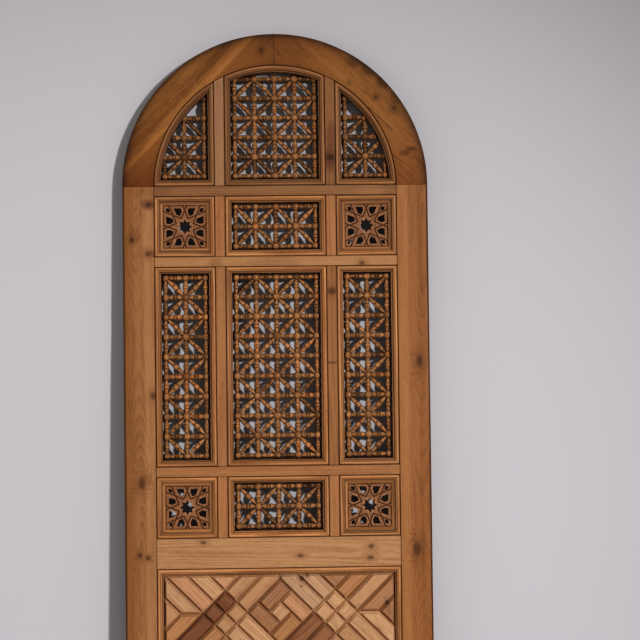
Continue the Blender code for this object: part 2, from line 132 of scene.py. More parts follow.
def section_of_board(width, rounds, tones):
    """A board's section about its middle, as (across, depth, tint); rounds are its two front arrises."""
    section = []
    for side, front in ((-1, -1), (1, -1), (1, 1), (-1, 1)):
        round_off = rounds[side > 0] if front < 0 else back_arris
        corner = []
        for angle in (0, 30, 60, 90):
            turn = math.radians(angle)
            across = width / 2 - round_off * (1 - math.cos(turn))
            depth = half_thick - round_off * (1 - math.sin(turn))
            corner.append((side * across, front * depth))
        if front * side > 0:
            corner.reverse()
        section += corner
        if (side, front) == (-1, -1):
            inner = [place for place, _ in tones if edge_zone < place < width - edge_zone]
            section += [(place - width / 2, -half_thick) for place in inner]
    return [(across, depth, tone_at(tones, across + width / 2)) for across, depth in section]


def where_in_log(seed):
    """Where in its log a part was cut, so that no two parts show the same grain."""
    draw = random.Random(seed)
    return Vector((draw.uniform(-0.035, 0.035), draw.uniform(0.03, 0.08), draw.uniform(0, 40)))


def unevenness(*place):
    """How uneven hand work and wear have left a spot, from 0 to about 1."""
    return abs(noise.noise(Vector(place)))


def planed_bar(start, end, width, seed, rounds, tones, slopes, heart):
    """A straight board from start to end, with worn arrises; slopes slant its two ends."""
    along = (end - start).normalized()
    across = Vector((along.z, 0, -along.x))
    length = (end - start).length
    log = where_in_log(seed)
    sway, level = 0, 0
    if heart:
        log.x, log.y, sway, level = heart
    steps = max(2, round(length / station_gap))
    stops = [(0, arris), (arris, 0)]
    stops += [(arris + (length - 2 * arris) * step / steps, 0) for step in range(1, steps)]
    stops += [(length - arris, 0), (length, arris)]
    rings, tints = [], []
    for distance, shrink in stops:
        slope = slopes[distance >= length / 2]
        bow = sway * math.sin(heart_turns * (distance - level))
        worn = [size * (0.8 + 0.9 * unevenness(distance * 9, log.z, size * 2000)) for size in rounds]
        ring = []
        for side, depth, tint in section_of_board(width, worn, tones):
            side -= math.copysign(shrink, side)
            place = start + along * (distance + slope * side) + across * side
            place.y = mid_depth + depth * (1 - shrink / half_thick)
            ring.append((place, Vector((side, depth + bow, distance)) + log))
            tints.append(tint)
        rings.append(ring)
    return (*loft(rings), tints)


knot_brown = (0.060, 0.020, 0.008)
# The brown of the darkening in corners and joints: partly old wax gone dark, partly painted shade.
grime_and_shade_brown = (0.040, 0.014, 0.005)
# How fine the sway of the grain, its fibres and its mottling are: across it twice, and along it.
sway_fineness, fibre_fineness, mottle_fineness = (7, 7, 0.8), (1300, 1300, 35), (190, 190, 60)
sway_reach = 0.045
wild_knot_cells, wild_knot_radius, no_knot = (9, 9, 5), 0.055, 50.0
ring_swell = 0.011
# How far the darkening in corners reaches: partly old wax, partly painted shade.
grime_and_shade_reach = 0.011
grain_relief = 0.0005


def add_node(tree, kind, sockets=(), **settings):
    made = tree.nodes.new(kind)
    for key, value in settings.items():
        setattr(made, key, value)
    for key, value in dict(sockets).items():
        if isinstance(value, bpy.types.NodeSocket):
            tree.links.new(value, made.inputs[key])
        else:
            made.inputs[key].default_value = value
    return made


def reckon(tree, operation, *values):
    return add_node(tree, "ShaderNodeMath", enumerate(values), operation=operation).outputs[0]


def reckon_way(tree, operation, first, *second):
    """A sum on places and ways; a length and a dot product give a number."""
    sockets = {0: first}
    if second:
        sockets["Scale" if operation == "SCALE" else 1] = second[0]
    made = add_node(tree, "ShaderNodeVectorMath", sockets, operation=operation)
    return made.outputs["Value" if operation in ("LENGTH", "DOT_PRODUCT") else "Vector"]


def fade(tree, value, low, high, out_low=0.0, out_high=1.0):
    """A smooth change from one value to another as the input goes from low to high."""
    sockets = {"Value": value, "From Min": low, "From Max": high, "To Min": out_low, "To Max": out_high}
    return add_node(tree, "ShaderNodeMapRange", sockets, interpolation_type="SMOOTHSTEP").outputs[0]


def held(tree, value):
    """A value held between nothing and one."""
    return add_node(tree, "ShaderNodeClamp", {0: value}).outputs[0]


def blend(tree, share, first, second, way="MIX"):
    sockets = {0: share, 6: first, 7: second}
    return add_node(tree, "ShaderNodeMix", sockets, data_type="RGBA", blend_type=way).outputs[2]


def tinted(tree, share, colour, tint):
    return blend(tree, share, colour, (*tint, 1), "MULTIPLY")


def streaks(tree, vector, fineness, detail, kind="Fac"):
    """Soft noise from 0 to 1 in patches or streaks, the smaller the higher their fineness."""
    scaled = reckon_way(tree, "MULTIPLY", vector, fineness)
    sockets = {"Vector": scaled, "Scale": 1.0, "Detail": detail}
    return add_node(tree, "ShaderNodeTexNoise", sockets).outputs[kind]


def waver(tree, value, noise_value, strength):
    """A value moved up and down by noise, as far as half the strength each way."""
    return reckon(tree, "MULTIPLY_ADD", reckon(tree, "SUBTRACT", noise_value, 0.5), strength, value)


def way_from(tree, x, down):
    """The way to each place of the leaf from a spot, given from the middle of the springing line."""
    place = add_node(tree, "ShaderNodeTexCoord").outputs["Object"]
    return reckon_way(tree, "SUBTRACT", place, (leaf_middle + x, 0, springing_line - down))


def distance_to_spot(tree, x, down, squash):
    flat = reckon_way(tree, "MULTIPLY", way_from(tree, x, down), (squash[0], 0, squash[1]))
    return reckon_way(tree, "LENGTH", flat)


def distance_to_line(tree, start, end):
    """How far each place is from the line between two spots of the face."""
    flat = reckon_way(tree, "MULTIPLY", way_from(tree, *start), (1, 0, 1))
    line = (end[0] - start[0], 0, start[1] - end[1])
    gone = reckon_way(tree, "DOT_PRODUCT", flat, line)
    gone = held(tree, reckon(tree, "DIVIDE", gone, line[0] ** 2 + line[2] ** 2))
    nearest = reckon_way(tree, "SCALE", line, gone)
    return reckon_way(tree, "LENGTH", reckon_way(tree, "SUBTRACT", flat, nearest))


def from_nearest_knot(tree, bent, knots, clear_share):
    """How far each place is from the nearest knot, in that knot's radii.

    Besides the knots in the list, one wild knot stands in each cell of the wood that isn't clear.
    """
    cells = reckon_way(tree, "MULTIPLY", bent, wild_knot_cells)
    wild = add_node(tree, "ShaderNodeTexVoronoi", {"Vector": cells, "Scale": 1.0})
    chance = add_node(tree, "ShaderNodeSeparateXYZ", {0: wild.outputs["Color"]}).outputs[0]
    left_out = reckon(tree, "MULTIPLY", reckon(tree, "LESS_THAN", chance, clear_share), no_knot)
    near = reckon(tree, "ADD", reckon(tree, "DIVIDE", wild.outputs["Distance"], wild_knot_radius), left_out)
    for x, down, radius, squash in knots:
        reach = reckon(tree, "DIVIDE", distance_to_spot(tree, x, down, squash), radius)
        near = reckon(tree, "MINIMUM", near, reach)
    return near


def late_wood(tree, bent, round_knot, ring_gap):
    """The dark part of each growth ring about the heart, with the rings pushed out round a knot."""
    from_heart = reckon_way(tree, "LENGTH", reckon_way(tree, "MULTIPLY", bent, (1, 1, 0)))
    from_heart = reckon(tree, "MULTIPLY_ADD", round_knot, ring_swell, from_heart)
    ring = reckon(tree, "FRACT", reckon(tree, "DIVIDE", from_heart, ring_gap))
    darkening, ring_end = fade(tree, ring, 0.15, 0.88), fade(tree, ring, 0.90, 1.0, 1.0, 0.0)
    return reckon(tree, "MULTIPLY", darkening, ring_end)


def weathered(tree, colour, streak, patch, smudges, cracks, bands):
    """The colour with its bands of sapwood and heartwood, its smudges and its cracks."""
    for way, offset, breadth, tint in bands:
        reach = reckon_way(tree, "DOT_PRODUCT", way_from(tree, 0, 0), (way[0], 0, way[1]))
        reach = waver(tree, reach, streak, 0.006)
        near_side = fade(tree, reach, offset, offset + 0.002)
        far_side = fade(tree, reach, offset + 0.006, offset + breadth, 1.0, 0.0)
        colour = tinted(tree, reckon(tree, "MULTIPLY", near_side, far_side), colour, tint)
    for x, down, radius, squash, tint in smudges:
        ragged = waver(tree, distance_to_spot(tree, x, down, squash), patch, 1.2 * radius)
        colour = tinted(tree, fade(tree, ragged, 0.35 * radius, 1.25 * radius, 1.0, 0.0), colour, tint)
    for start, end, half_width, tint in cracks:
        ragged = waver(tree, distance_to_line(tree, start, end), streak, half_width)
        colour = tinted(tree, fade(tree, ragged, 0.3 * half_width, 1.3 * half_width, 1.0, 0.0), colour, tint)
    return colour


def old_pine(
    name, pale, dark, contrast, grime_and_shade_strength, knots=(), ring_gap=0.0045, clear_share=0.8, rings=1.0,
    patches=12.0, run=2.2, fine=1.6, smudges=(), cracks=(), bands=(),
):
    """Waxed pine: rings, streaks and fibres along the grain, knots, marks, and darkening in the corners,
    partly old wax gone dark and partly painted shade.

    Patches get smaller as their number rises; streaks get shorter with run, and finer with fine.
    """
    made = bpy.data.materials.new(name)
    made.use_nodes = True
    tree = made.node_tree
    shader = tree.nodes["Principled BSDF"]
    grain = add_node(tree, "ShaderNodeAttribute", attribute_name="grain").outputs["Vector"]
    # Per-point tints: the wood's stains together with painted shade and painted highlight.
    stain = add_node(tree, "ShaderNodeAttribute", attribute_name="stain").outputs["Color"]

    sway = streaks(tree, grain, sway_fineness, 1.0, "Color")
    sway = reckon_way(tree, "SUBTRACT", sway, (0.5, 0.5, 0.5))
    bent = reckon_way(tree, "ADD", grain, reckon_way(tree, "SCALE", sway, sway_reach))
    near = from_nearest_knot(tree, bent, knots, clear_share)
    knot = fade(tree, near, 0.35, 1.3, 1.0, 0.0)
    round_knot = fade(tree, near, 0.9, 3.2, 1.0, 0.0)
    late = late_wood(tree, bent, round_knot, ring_gap)
    fibre = streaks(tree, grain, fibre_fineness, 2.0)
    streak = streaks(tree, bent, (60 * fine, 60 * fine, run * fine), 3.5)
    patch = streaks(tree, grain, (patches, patches, patches / 3), 3.0)
    mottle = streaks(tree, grain, mottle_fineness, 2.5)

    share = reckon(tree, "MULTIPLY", late, rings * contrast)
    for noise_value, strength in ((streak, 1.5), (fibre, 0.55), (patch, 1.1), (mottle, 1.0)):
        share = waver(tree, share, noise_value, strength * contrast)
    colour = blend(tree, held(tree, share), (*pale, 1), (*dark, 1))
    colour = blend(tree, reckon(tree, "MULTIPLY", round_knot, 0.3), colour, (*dark, 1))
    colour = blend(tree, reckon(tree, "MULTIPLY", knot, 0.62), colour, (*knot_brown, 1))
    colour = blend(tree, 1.0, colour, stain, "MULTIPLY")
    colour = weathered(tree, colour, streak, patch, smudges, cracks, bands)

    # Ambient occlusion darkens joints, corners and hollows: partly old wax gone dark, partly painted shade.
    corner = add_node(tree, "ShaderNodeAmbientOcclusion", {"Distance": grime_and_shade_reach}, samples=6).outputs["AO"]
    grime_and_shade_share = fade(tree, corner, 0.15, 0.95, grime_and_shade_strength, 0.0)
    colour = blend(tree, grime_and_shade_share, colour, (*grime_and_shade_brown, 1))
    tree.links.new(colour, shader.inputs["Base Color"])
    rough = reckon(tree, "MULTIPLY_ADD", streak, 0.25, 0.42)
    tree.links.new(reckon(tree, "MULTIPLY_ADD", grime_and_shade_share, 0.2, rough), shader.inputs["Roughness"])
    shader.inputs["Specular IOR Level"].default_value = 0.24
    height = reckon(tree, "MULTIPLY_ADD", late, 0.5, fibre)
    bump = add_node(tree, "ShaderNodeBump", {"Height": height, "Strength": 0.35, "Distance": grain_relief})
    tree.links.new(bump.outputs[0], shader.inputs["Normal"])
    return made


# Knots of the frame: across from the leaf's middle, down from the springing line, size and shape.
frame_knots = (
    (-0.311, 0.045, 0.007, (1, 1)),
    (-0.353, 0.132, 0.006, (1, 0.8)),
    (-0.314, 0.166, 0.007, (1, 0.8)),
    (-0.304, 0.513, 0.008, (1, 0.7)),
    (-0.333, 0.726, 0.010, (1, 0.6)),
    (-0.319, 0.908, 0.007, (1, 1)),
    (-0.339, 0.901, 0.006, (1, 0.8)),
    (0.350, 0.435, 0.011, (1.2, 0.6)),
    (0.338, 0.895, 0.012, (1.2, 0.6)),
    (-0.185, 0.872, 0.005, (0.6, 1)),
    (0.225, 0.887, 0.006, (0.7, 1)),
    (0.223, 0.914, 0.006, (0.7, 1)),
    (0.052, 0.907, 0.005, (0.6, 1)),
    (0.137, -0.068, 0.008, (0.7, 1)),
    (0.136, 0.261, 0.009, (0.7, 1)),
    (0.136, 0.437, 0.0018, (0.12, 1)),
    (0.211, 0.193, 0.006, (0.7, 1)),
)
# Soft stains, placed in the same way: place, size, shape and tint.
frame_smudges = (
    (-0.312, 0.045, 0.016, (0.8, 1.1), (0.62, 0.55, 0.52)),
    (0.137, -0.062, 0.024, (1.4, 0.6), (0.60, 0.50, 0.48)),
    (0.139, -0.120, 0.020, (1.4, 0.5), (0.75, 0.66, 0.64)),
    (-0.302, 0.165, 0.010, (1, 1), (0.70, 0.62, 0.58)),
    (-0.345, 0.120, 0.016, (1, 0.7), (0.85, 0.80, 0.78)),
    (-0.150, 0.190, 0.012, (0.7, 1), (0.80, 0.74, 0.72)),
    (0.240, 0.012, 0.022, (0.6, 1.2), (1.16, 1.20, 1.26)),
    (-0.300, 0.012, 0.030, (0.6, 1.2), (0.84, 0.80, 0.78)),
    (0.000, 0.196, 0.030, (0.5, 1.2), (0.88, 0.85, 0.84)),
)
frame_pine = old_pine(
    "waxed_frame_pine", (0.50, 0.251, 0.111), (0.215, 0.085, 0.028), 0.56, 0.85, frame_knots,
    ring_gap=0.0034, clear_share=0.96, rings=0.5, smudges=frame_smudges,
)
# Across a stile from its outer edge: dark on the rounded arris, partly from handling and partly as painted
# shade of an edge turned from the light; bleached beside the lights.
stile_tones_and_edge_shade = (
    (0.0, (0.26, 0.22, 0.18)),
    (0.0030, (0.50, 0.44, 0.36)),
    (0.0060, (0.90, 0.86, 0.76)),
    (0.022, (0.88, 0.84, 0.74)),
    (0.030, (1.0, 1.0, 1.0)),
    (0.048, (1.04, 1.06, 1.08)),
    (0.056, (1.24, 1.34, 1.46)),
    (0.0768, (1.14, 1.22, 1.34)),
)
# Other boards are painted slightly darker along both long edges, as painted shade, within a band of this
# width.
board_edge_shade_tint, board_edge_shade_width = (0.92, 0.9, 0.88), 0.004
# Where the heart of the log lay behind a stile, how much it bowed, and the height about which it did.
stile_heart = {"stile_left": (0.004, 0.056, 0.024, 1.11), "stile_right": (-0.022, 0.062, 0.018, 0.7)}
heart_turns = 5.2
stile_rounds = {"stile_left": (0.0028, 0.0007), "stile_right": (0.0007, 0.0022)}
inner_rounds = (0.0007, 0.0007)
board_stain = {
    "stile_left": (0.73, 0.70, 0.65),
    "stile_right": (0.70, 0.62, 0.50),
    "arch_rail": (0.70, 0.73, 0.75),
    "upper_rail": (1.01, 1.12, 1.20),
    "middle_rail": (0.95, 0.96, 0.95),
    "lock_rail": (1.10, 1.26, 1.46),
    "bottom_rail": (1.00, 1.02, 1.00),
    "muntin_arch_left": (0.90, 1.02, 1.25),
    "muntin_arch_right": (0.70, 0.70, 0.70),
    "muntin_middle_left": (0.93, 0.94, 0.95),
    "muntin_middle_right": (0.78, 0.76, 0.72),
}
plain_stain = (0.95, 0.93, 0.92)


def tints_and_edge_shade_across(node, width):
    """The tints across a board from its left or lower edge: the board's own colour, with painted shade along
    its edges.
    """
    if node == "stile_left":
        wear = stile_tones_and_edge_shade
    elif node == "stile_right":
        wear = [(width - reach, tint) for reach, tint in reversed(stile_tones_and_edge_shade)]
    else:
        bare, band = (1, 1, 1), board_edge_shade_width
        wear = [(0.0, board_edge_shade_tint), (band, bare), (width - band, bare), (width, board_edge_shade_tint)]
    base = board_stain.get(node, plain_stain)
    return [(reach, tuple(a * b for a, b in zip(tint, base))) for reach, tint in wear]


for number, node in enumerate(sorted(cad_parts)):
    upright = node.startswith(("stile", "muntin"))
    if not upright and not node.endswith("_rail"):
        continue
    low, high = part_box(node)
    slopes = (0, 0)
    if upright:
        start = Vector(((low.x + high.x) / 2, 0, low.z))
        end, width = Vector((start.x, 0, high.z)), high.x - low.x
        if node.startswith("muntin_arch"):
            inner_edge = min(abs(low.x - leaf_middle), abs(high.x - leaf_middle))
            reach = math.hypot(inner_edge, high.z - springing_line)
            tops = [math.sqrt(reach**2 - (x - leaf_middle) ** 2) for x in (low.x, high.x)]
            slopes = (0, (tops[1] - tops[0]) / width)
            end.z = springing_line + sum(tops) / 2
    else:
        start = Vector((low.x, 0, (low.z + high.z) / 2))
        end, width = Vector((high.x, 0, start.z)), high.z - low.z
    rounds, tones = stile_rounds.get(node, inner_rounds), tints_and_edge_shade_across(node, width)
    board = Workpiece()
    board.add(*planed_bar(start, end, width, number, rounds, tones, slopes, stile_heart.get(node)))
    board.finish("planed_" + node, node, "pine_frame", frame_pine)


# ---------------------------------------------------------------------------------------------
# The round head. Two curved boards sawn from wide pine, their grain running along each chord,
# that meet at the crown. Hands and weather have left them darker; they darken further towards
# the outer rim, and painted shade lies on the rounded outer arris and on the side faces.
# ---------------------------------------------------------------------------------------------

head_outer = lock_high.x - leaf_middle
head_inner = lock_low.x - leaf_middle
head_step = math.radians(2)
joint_turns, joint_end = (0, 0.0011, 0.0024), 0.002
joint_half, joint_shade = 0.00003, 0.30
rim_wear, rim_wear_from = 0.0006, 0.06
chord_to_heart = 0.33
# Painted shade on the side faces of the head boards: they are held at least this dark.
edge_shade = 0.6
# Across the board from its inner edge: a little darker at the inner arris, darker towards the outer rim, and
# darkest on the rounded outer arris, where the shade is painted.
rim_shade = (
    (0.0, 0.84), (0.006, 0.97), (0.012, 1.0), (0.018, 1.02), (0.024, 1.05), (0.030, 1.05), (0.036, 1.02),
    (0.042, 0.99), (0.048, 0.98), (0.054, 0.94), (0.060, 0.86), (0.0655, 0.73), (0.070, 0.55), (0.0735, 0.38),
    (0.0768, 0.28),
)
# How light the boards are at the crown and at each one's foot, and how much redder their dark parts are.
crown_light, foot_light = 0.72, {-1: 0.545, 1: 0.77}
crown_red, foot_red = (0.4, 0.6), {-1: (0.50, 1.04), 1: (0.89, 1.92)}
head_knots = (
    (0.250, -0.2155, 0.006, (1, 1)),
    (0.295, -0.1885, 0.006, (1, 0.9)),
    (-0.031, -0.333, 0.006, (1, 0.8)),
)
# Soot and grease, as on the frame.
head_smudges = (
    (0.185, -0.253, 0.010, (1, 1), (0.75, 0.80, 0.95)),
    (0.321, -0.078, 0.014, (0.8, 1.6), (0.60, 0.52, 0.48)),
    (0.338, -0.088, 0.009, (0.6, 1.3), (0.58, 0.50, 0.46)),
    (0.205, -0.308, 0.020, (0.8, 1.1), (0.60, 0.54, 0.50)),
    (0.236, -0.286, 0.021, (1, 1), (0.50, 0.44, 0.40)),
    (0.268, -0.258, 0.019, (1, 0.9), (0.52, 0.46, 0.42)),
    (0.300, -0.215, 0.016, (1, 0.8), (0.72, 0.66, 0.62)),
)
# Old glue lines and checks: from, to, half the width, and tint.
head_cracks = (
    ((0.230, -0.192), (0.291, -0.135), 0.0014, (0.45, 0.38, 0.34)),
    ((0.285, -0.078), (0.318, -0.053), 0.0012, (0.45, 0.38, 0.34)),
)
# Paler sapwood and darker heartwood: the way across the grain, how far out, how broad, and tint.
head_bands = (
    ((-0.725, 0.689), 0.287, 0.024, (1.38, 1.48, 1.62)),
    ((-0.725, 0.689), 0.312, 0.030, (0.80, 0.74, 0.70)),
    ((-0.725, 0.689), 0.345, 0.018, (1.08, 1.10, 1.12)),
    ((0.70, 0.714), 0.300, 0.020, (1.10, 1.13, 1.16)),
    ((0.70, 0.714), 0.338, 0.018, (0.86, 0.82, 0.79)),
)
head_pine = old_pine(
    "dark_head_pine", (0.325, 0.145, 0.0400), (0.090, 0.034, 0.0090), 0.80, 0.8, head_knots, ring_gap=0.0075,
    rings=0.12, patches=30.0, run=6.0, smudges=head_smudges, cracks=head_cracks, bands=head_bands,
)


def head_section():
    """The board's section as (reach outwards, depth), with its arrises taken off."""
    full = rim_shade[-1][0]
    front_face = [(reach, -half_thick) for reach, _ in rim_shade]
    front_face[0], front_face[-1] = (arris, -half_thick), (full - 2 * arris, -half_thick)
    outer_edge = [(full, -half_thick + 2 * arris), (full, half_thick - arris), (full - arris, half_thick)]
    return front_face + outer_edge + [(arris, half_thick), (0, half_thick - arris), (0, -half_thick + arris)]


def head_tint(side, turn, shade):
    """The tint at an angle from the crown: darkest and reddest at the crown and at the board's foot."""
    share = turn / (math.pi / 2)
    worst = crown_light + (foot_light[side] - crown_light) * share
    light = worst + (1 - worst) * math.sin(2 * turn)
    green, blue = (crown + (foot - crown) * share for crown, foot in zip(crown_red, foot_red[side]))
    shade *= light * (joint_shade if turn < joint_end else 1.0)
    return (shade, shade * light**green, shade * light**blue)


def curved_board(side, seed):
    """One half of the head: its section is carried round the quarter circle."""
    log = where_in_log(seed)
    chord = Vector((side, 0, -1)).normalized()
    cross = Vector((chord.z, 0, -chord.x))
    rim_tones = [(reach, (shade,)) for reach, shade in rim_shade]
    scale = (head_outer - head_inner) / rim_shade[-1][0]
    steps = round(math.pi / 2 / head_step)
    rings, tints = [], []
    for turn in (*joint_turns, *(math.pi / 2 * step / steps for step in range(1, steps + 1))):
        ring = []
        for reach, depth in head_section():
            worn = rim_wear * unevenness(turn * 14, seed, reach * 40) if reach > rim_wear_from else 0
            radius = head_inner + reach * scale - worn
            x = side * max(radius * math.sin(turn), joint_half)
            z = max(radius * math.cos(turn), joint_half)
            place = Vector((leaf_middle + x, mid_depth + depth, springing_line + z))
            flat = Vector((x, 0, z))
            ring.append((place, Vector((flat.dot(cross) - chord_to_heart, depth, flat.dot(chord))) + log))
            shade = tone_at(rim_tones, reach)[0]
            # Painted shade on the board's side faces.
            if abs(depth) < half_thick - arris:
                shade = min(shade, edge_shade)
            tints.append(head_tint(side, turn, shade))
        rings.append(ring)
    return (*loft(rings), tints)


for side, node in ((-1, "head_left"), (1, "head_right")):
    board = Workpiece()
    board.add(*curved_board(side, 91 + side))
    board.finish("sawn_" + node, node, "pine_head", head_pine)


# ---------------------------------------------------------------------------------------------
# The mouldings. Pine strips 16 mm wide, worked with a quirk, a bead, an ovolo and a lower fillet,
# mitred at the corners and pinned round every light and the lower panel, flush with the frame.
# ---------------------------------------------------------------------------------------------

strip_width = 0.0157
strip_depth = 0.034
strip_station = 0.04
bend_step = math.radians(1.5)
strip_wear, worn_to_depth = 0.0002, 0.004
quirk_width, quirk_depth = 0.0010, 0.0036
bead_middle, bead_radius, bead_squash = 0.0048, 0.0038, 0.72
ovolo_start, ovolo_end = 0.0094, 0.0124
fillet_depth = 0.0056
mitre_gap = 0.00012
bow_radius = head_inner - 0.00015
bead_level = {"arch": 0.66, "upper": 0.90, "middle": 0.88, "lower": 0.92, "panel": 1.0}
moulding_pine = old_pine(
    "beaded_moulding_pine", (0.54, 0.270, 0.118), (0.24, 0.097, 0.030), 0.5, 0.8, fine=2.5,
)


def moulding_section():
    """The strip's section from the frame inwards, as distance across and depth."""
    section = [(0.0, strip_depth), (0.0, quirk_depth), (quirk_width, quirk_depth)]
    for step in range(9):
        turn = math.radians(145 * step / 8)
        depth = 0.0001 + bead_radius * bead_squash * (1 - math.sin(turn))
        section.append((bead_middle - bead_radius * math.cos(turn), depth))
    section += [(0.0083, 0.0016), (0.0087, 0.0011), (ovolo_start, 0.0010)]
    for angle in (20, 38, 55, 72, 90):
        turn = math.radians(angle)
        across = ovolo_start + (ovolo_end - ovolo_start) * math.sin(turn)
        section.append((across, 0.0054 - 0.0044 * math.cos(turn)))
    section += [(0.0128, fillet_depth), (strip_width - 0.0003, fillet_depth)]
    return section + [(strip_width, fillet_depth + 0.0004), (strip_width, strip_depth)]


def rubbing_and_painted_shade(across, depth):
    """Pale on the bead's crest, partly from rubbing and partly as painted highlight; painted shade in the
    quirk, the dip, the deep walls and the corner at the fillet.
    """
    if across < 0.0012:
        return 0.55
    if depth > 0.012:
        return 0.65
    if across < 0.0078:
        return 1.14 if depth < 0.0009 else 0.95
    if across < 0.0094:
        return 0.66 if across < 0.0085 else 1.0
    return 0.5 if 0.0122 < across < 0.0130 else 0.85


strip_section = moulding_section()


def mitred_strip(start, end, inward, section, seed, slopes=(1, -1)):
    """A straight strip along one side of a light; its section grows inwards from the line start to end."""
    along = (end - start).normalized()
    length = (end - start).length
    log = where_in_log(seed)
    steps = max(2, round(length / strip_station))
    rings = []
    for step in range(steps + 1):
        ring = []
        for across, depth in section:
            first = mitre_gap + slopes[0] * across
            last = length - mitre_gap + slopes[1] * across
            distance = first + (last - first) * step / steps
            worn = strip_wear * unevenness(distance * 20, across * 300, log.z) if depth < worn_to_depth else 0
            place = start + along * distance + inward * across
            place.y = leaf_front + depth + worn
            ring.append((place, Vector((across, depth, distance)) + log))
        rings.append(ring)
    return loft(rings)


def bent_strip(start, end, seed, cuts):
    """A strip bent round the head between two angles off the vertical; cuts shape its ends."""
    log = where_in_log(seed)
    steps = max(2, round(abs(end - start) / bend_step))
    rings = []
    for step in range(steps + 1):
        ring = []
        for across, depth in strip_section:
            reach = bow_radius - across
            first, last = cuts(reach)
            turn = first + (last - first) * step / steps
            x, z = leaf_middle + reach * math.sin(turn), springing_line + reach * math.cos(turn)
            place = Vector((x, leaf_front + depth, z))
            ring.append((place, Vector((across, depth, turn * bow_radius)) + log))
        rings.append(ring)
    return loft(rings)


def darkened(stain, shade):
    return tuple(shade * value for value in stain)


def sides_of(outline):
    """The sides of a closed outline, each as its two ends."""
    return list(zip(outline, outline[1:] + outline[:1]))


def sides_of_light(low, high):
    """The four sides of a light from its foot round to the left: start, end and the way inwards."""
    corners = [(low.x, low.z), (high.x, low.z), (high.x, high.z), (low.x, high.z)]
    sides = []
    for start, end in sides_of([Vector((x, 0, z)) for x, z in corners]):
        along = (end - start).normalized()
        sides.append((start, end, Vector((-along.z, 0, along.x))))
    return sides


def strip_stain(seed, level):
    """The tint of one strip: mostly alike, some redder or greyer."""
    draw = random.Random(seed * 7 + 3)
    light = level * draw.uniform(0.86, 1.1)
    warm = draw.uniform(-0.06, 0.06)
    return (light * (1 + warm / 2), light, light * (1 - warm))


def bow_at(offset, inset=0.0):
    """How far the bow, or a curve inset from it, lies beyond the head's middle at an offset to one side."""
    return math.sqrt((bow_radius - inset) ** 2 - offset**2)


def bow_slope(offset, inner_offset):
    """How an end is cut to meet the bow, per width of the strip."""
    return (bow_at(inner_offset, strip_width) - bow_at(offset)) / strip_width


def centre_strips(low, high, seed):
    """The bow, the sill and the two uprights of the middle light of the head."""
    half = high.x - leaf_middle
    steep = math.asin(half / bow_radius)

    def cuts(reach):
        turn = math.asin((half - (bow_radius - reach)) / reach) - mitre_gap / reach
        return -turn, turn

    strips = [bent_strip(-steep, steep, seed, cuts)]
    strips.append(mitred_strip(*sides_of_light(low, high)[0], strip_section, seed + 1))
    slopes = (1, bow_slope(half, half - strip_width))
    for side in (-1, 1):
        foot = Vector((leaf_middle + side * half, 0, low.z))
        head = Vector((foot.x, 0, springing_line + bow_at(half)))
        strips.append(mitred_strip(foot, head, Vector((-side, 0, 0)), strip_section, seed + 2 + side, slopes))
    return strips


def side_strips(low, high, side, seed):
    """The bow, the sill and the upright of a three-cornered light of the head."""
    near = min(abs(low.x - leaf_middle), abs(high.x - leaf_middle))
    rise = low.z - springing_line

    def cuts(reach):
        across = bow_radius - reach
        first = math.asin((near + across) / reach) + mitre_gap / reach
        last = math.acos((rise + across) / reach) - mitre_gap / reach
        return side * first, side * last

    bow = bent_strip(side * math.asin(near / bow_radius), side * math.pi / 2, seed, cuts)
    start = Vector((leaf_middle + side * near, 0, low.z))
    end = Vector((leaf_middle + side * bow_at(rise), 0, low.z))
    slopes = (1, bow_slope(rise, rise + strip_width))
    sill = mitred_strip(start, end, Vector((0, 0, 1)), strip_section, seed + 1, slopes)
    head = Vector((start.x, 0, springing_line + bow_at(near)))
    slopes = (1, bow_slope(near, near + strip_width))
    return [bow, sill, mitred_strip(start, head, Vector((side, 0, 0)), strip_section, seed + 2, slopes)]


for number, node in enumerate(sorted(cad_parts)):
    if not node.startswith("moulding"):
        continue
    low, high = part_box(node)
    row, seed = node.split("_")[1], number * 10
    if row != "arch":
        sides = sides_of_light(low, high)
        strips = [mitred_strip(*side, strip_section, seed + step) for step, side in enumerate(sides)]
    elif node.endswith("centre"):
        strips = centre_strips(low, high, seed)
    else:
        strips = side_strips(low, high, 1 if node.endswith("right") else -1, seed)
    surround = Workpiece()
    for step, (points, grain, faces) in enumerate(strips):
        tint = strip_stain(seed + step, bead_level[row])
        # Painted shade and highlight across each strip's section, multiplied by the strip's own tint.
        shades = [rubbing_and_painted_shade(*spot) for spot in strip_section] * (len(points) // len(strip_section))
        surround.add(points, grain, faces, [darkened(tint, shade) for shade in shades])
    surround.finish("beaded_" + node, node, "pine_moulding", moulding_pine)


# ---------------------------------------------------------------------------------------------
# The lattices. Turned balls of pine, 19 mm across, and the turned spindles plugged into them:
# level and upright ones at every ball, and slanting ones at every second. The outer balls have
# short tenons let into the mouldings. No two parts are quite alike, and some are darker.
# ---------------------------------------------------------------------------------------------

ball_radius = 0.0095
ball_flat = 0.0086
spindle_start = ball_flat - 0.0003
ball_squash = 0.91
ball_margin = 0.0092
arch_pitch = 0.0483
tenon_reach = 0.0015
spindle_sides, ball_sides, ball_bands = 14, 24, 14
# A ball is left out if its middle would be further than this under the bow; a spindle, if it has less room.
ball_cover, spindle_room = 0.0025, 0.002
eighths = ((1, 0), (1, 1), (0, 1), (-1, 1), (-1, 0), (-1, -1), (0, -1), (1, -1))
lattice_pine = old_pine(
    "turned_lattice_pine", (0.42, 0.217, 0.094), (0.135, 0.053, 0.018), 0.66, 1.0,
    patches=60.0, run=12.0, fine=2.0, ring_gap=0.003, clear_share=0.97,
)
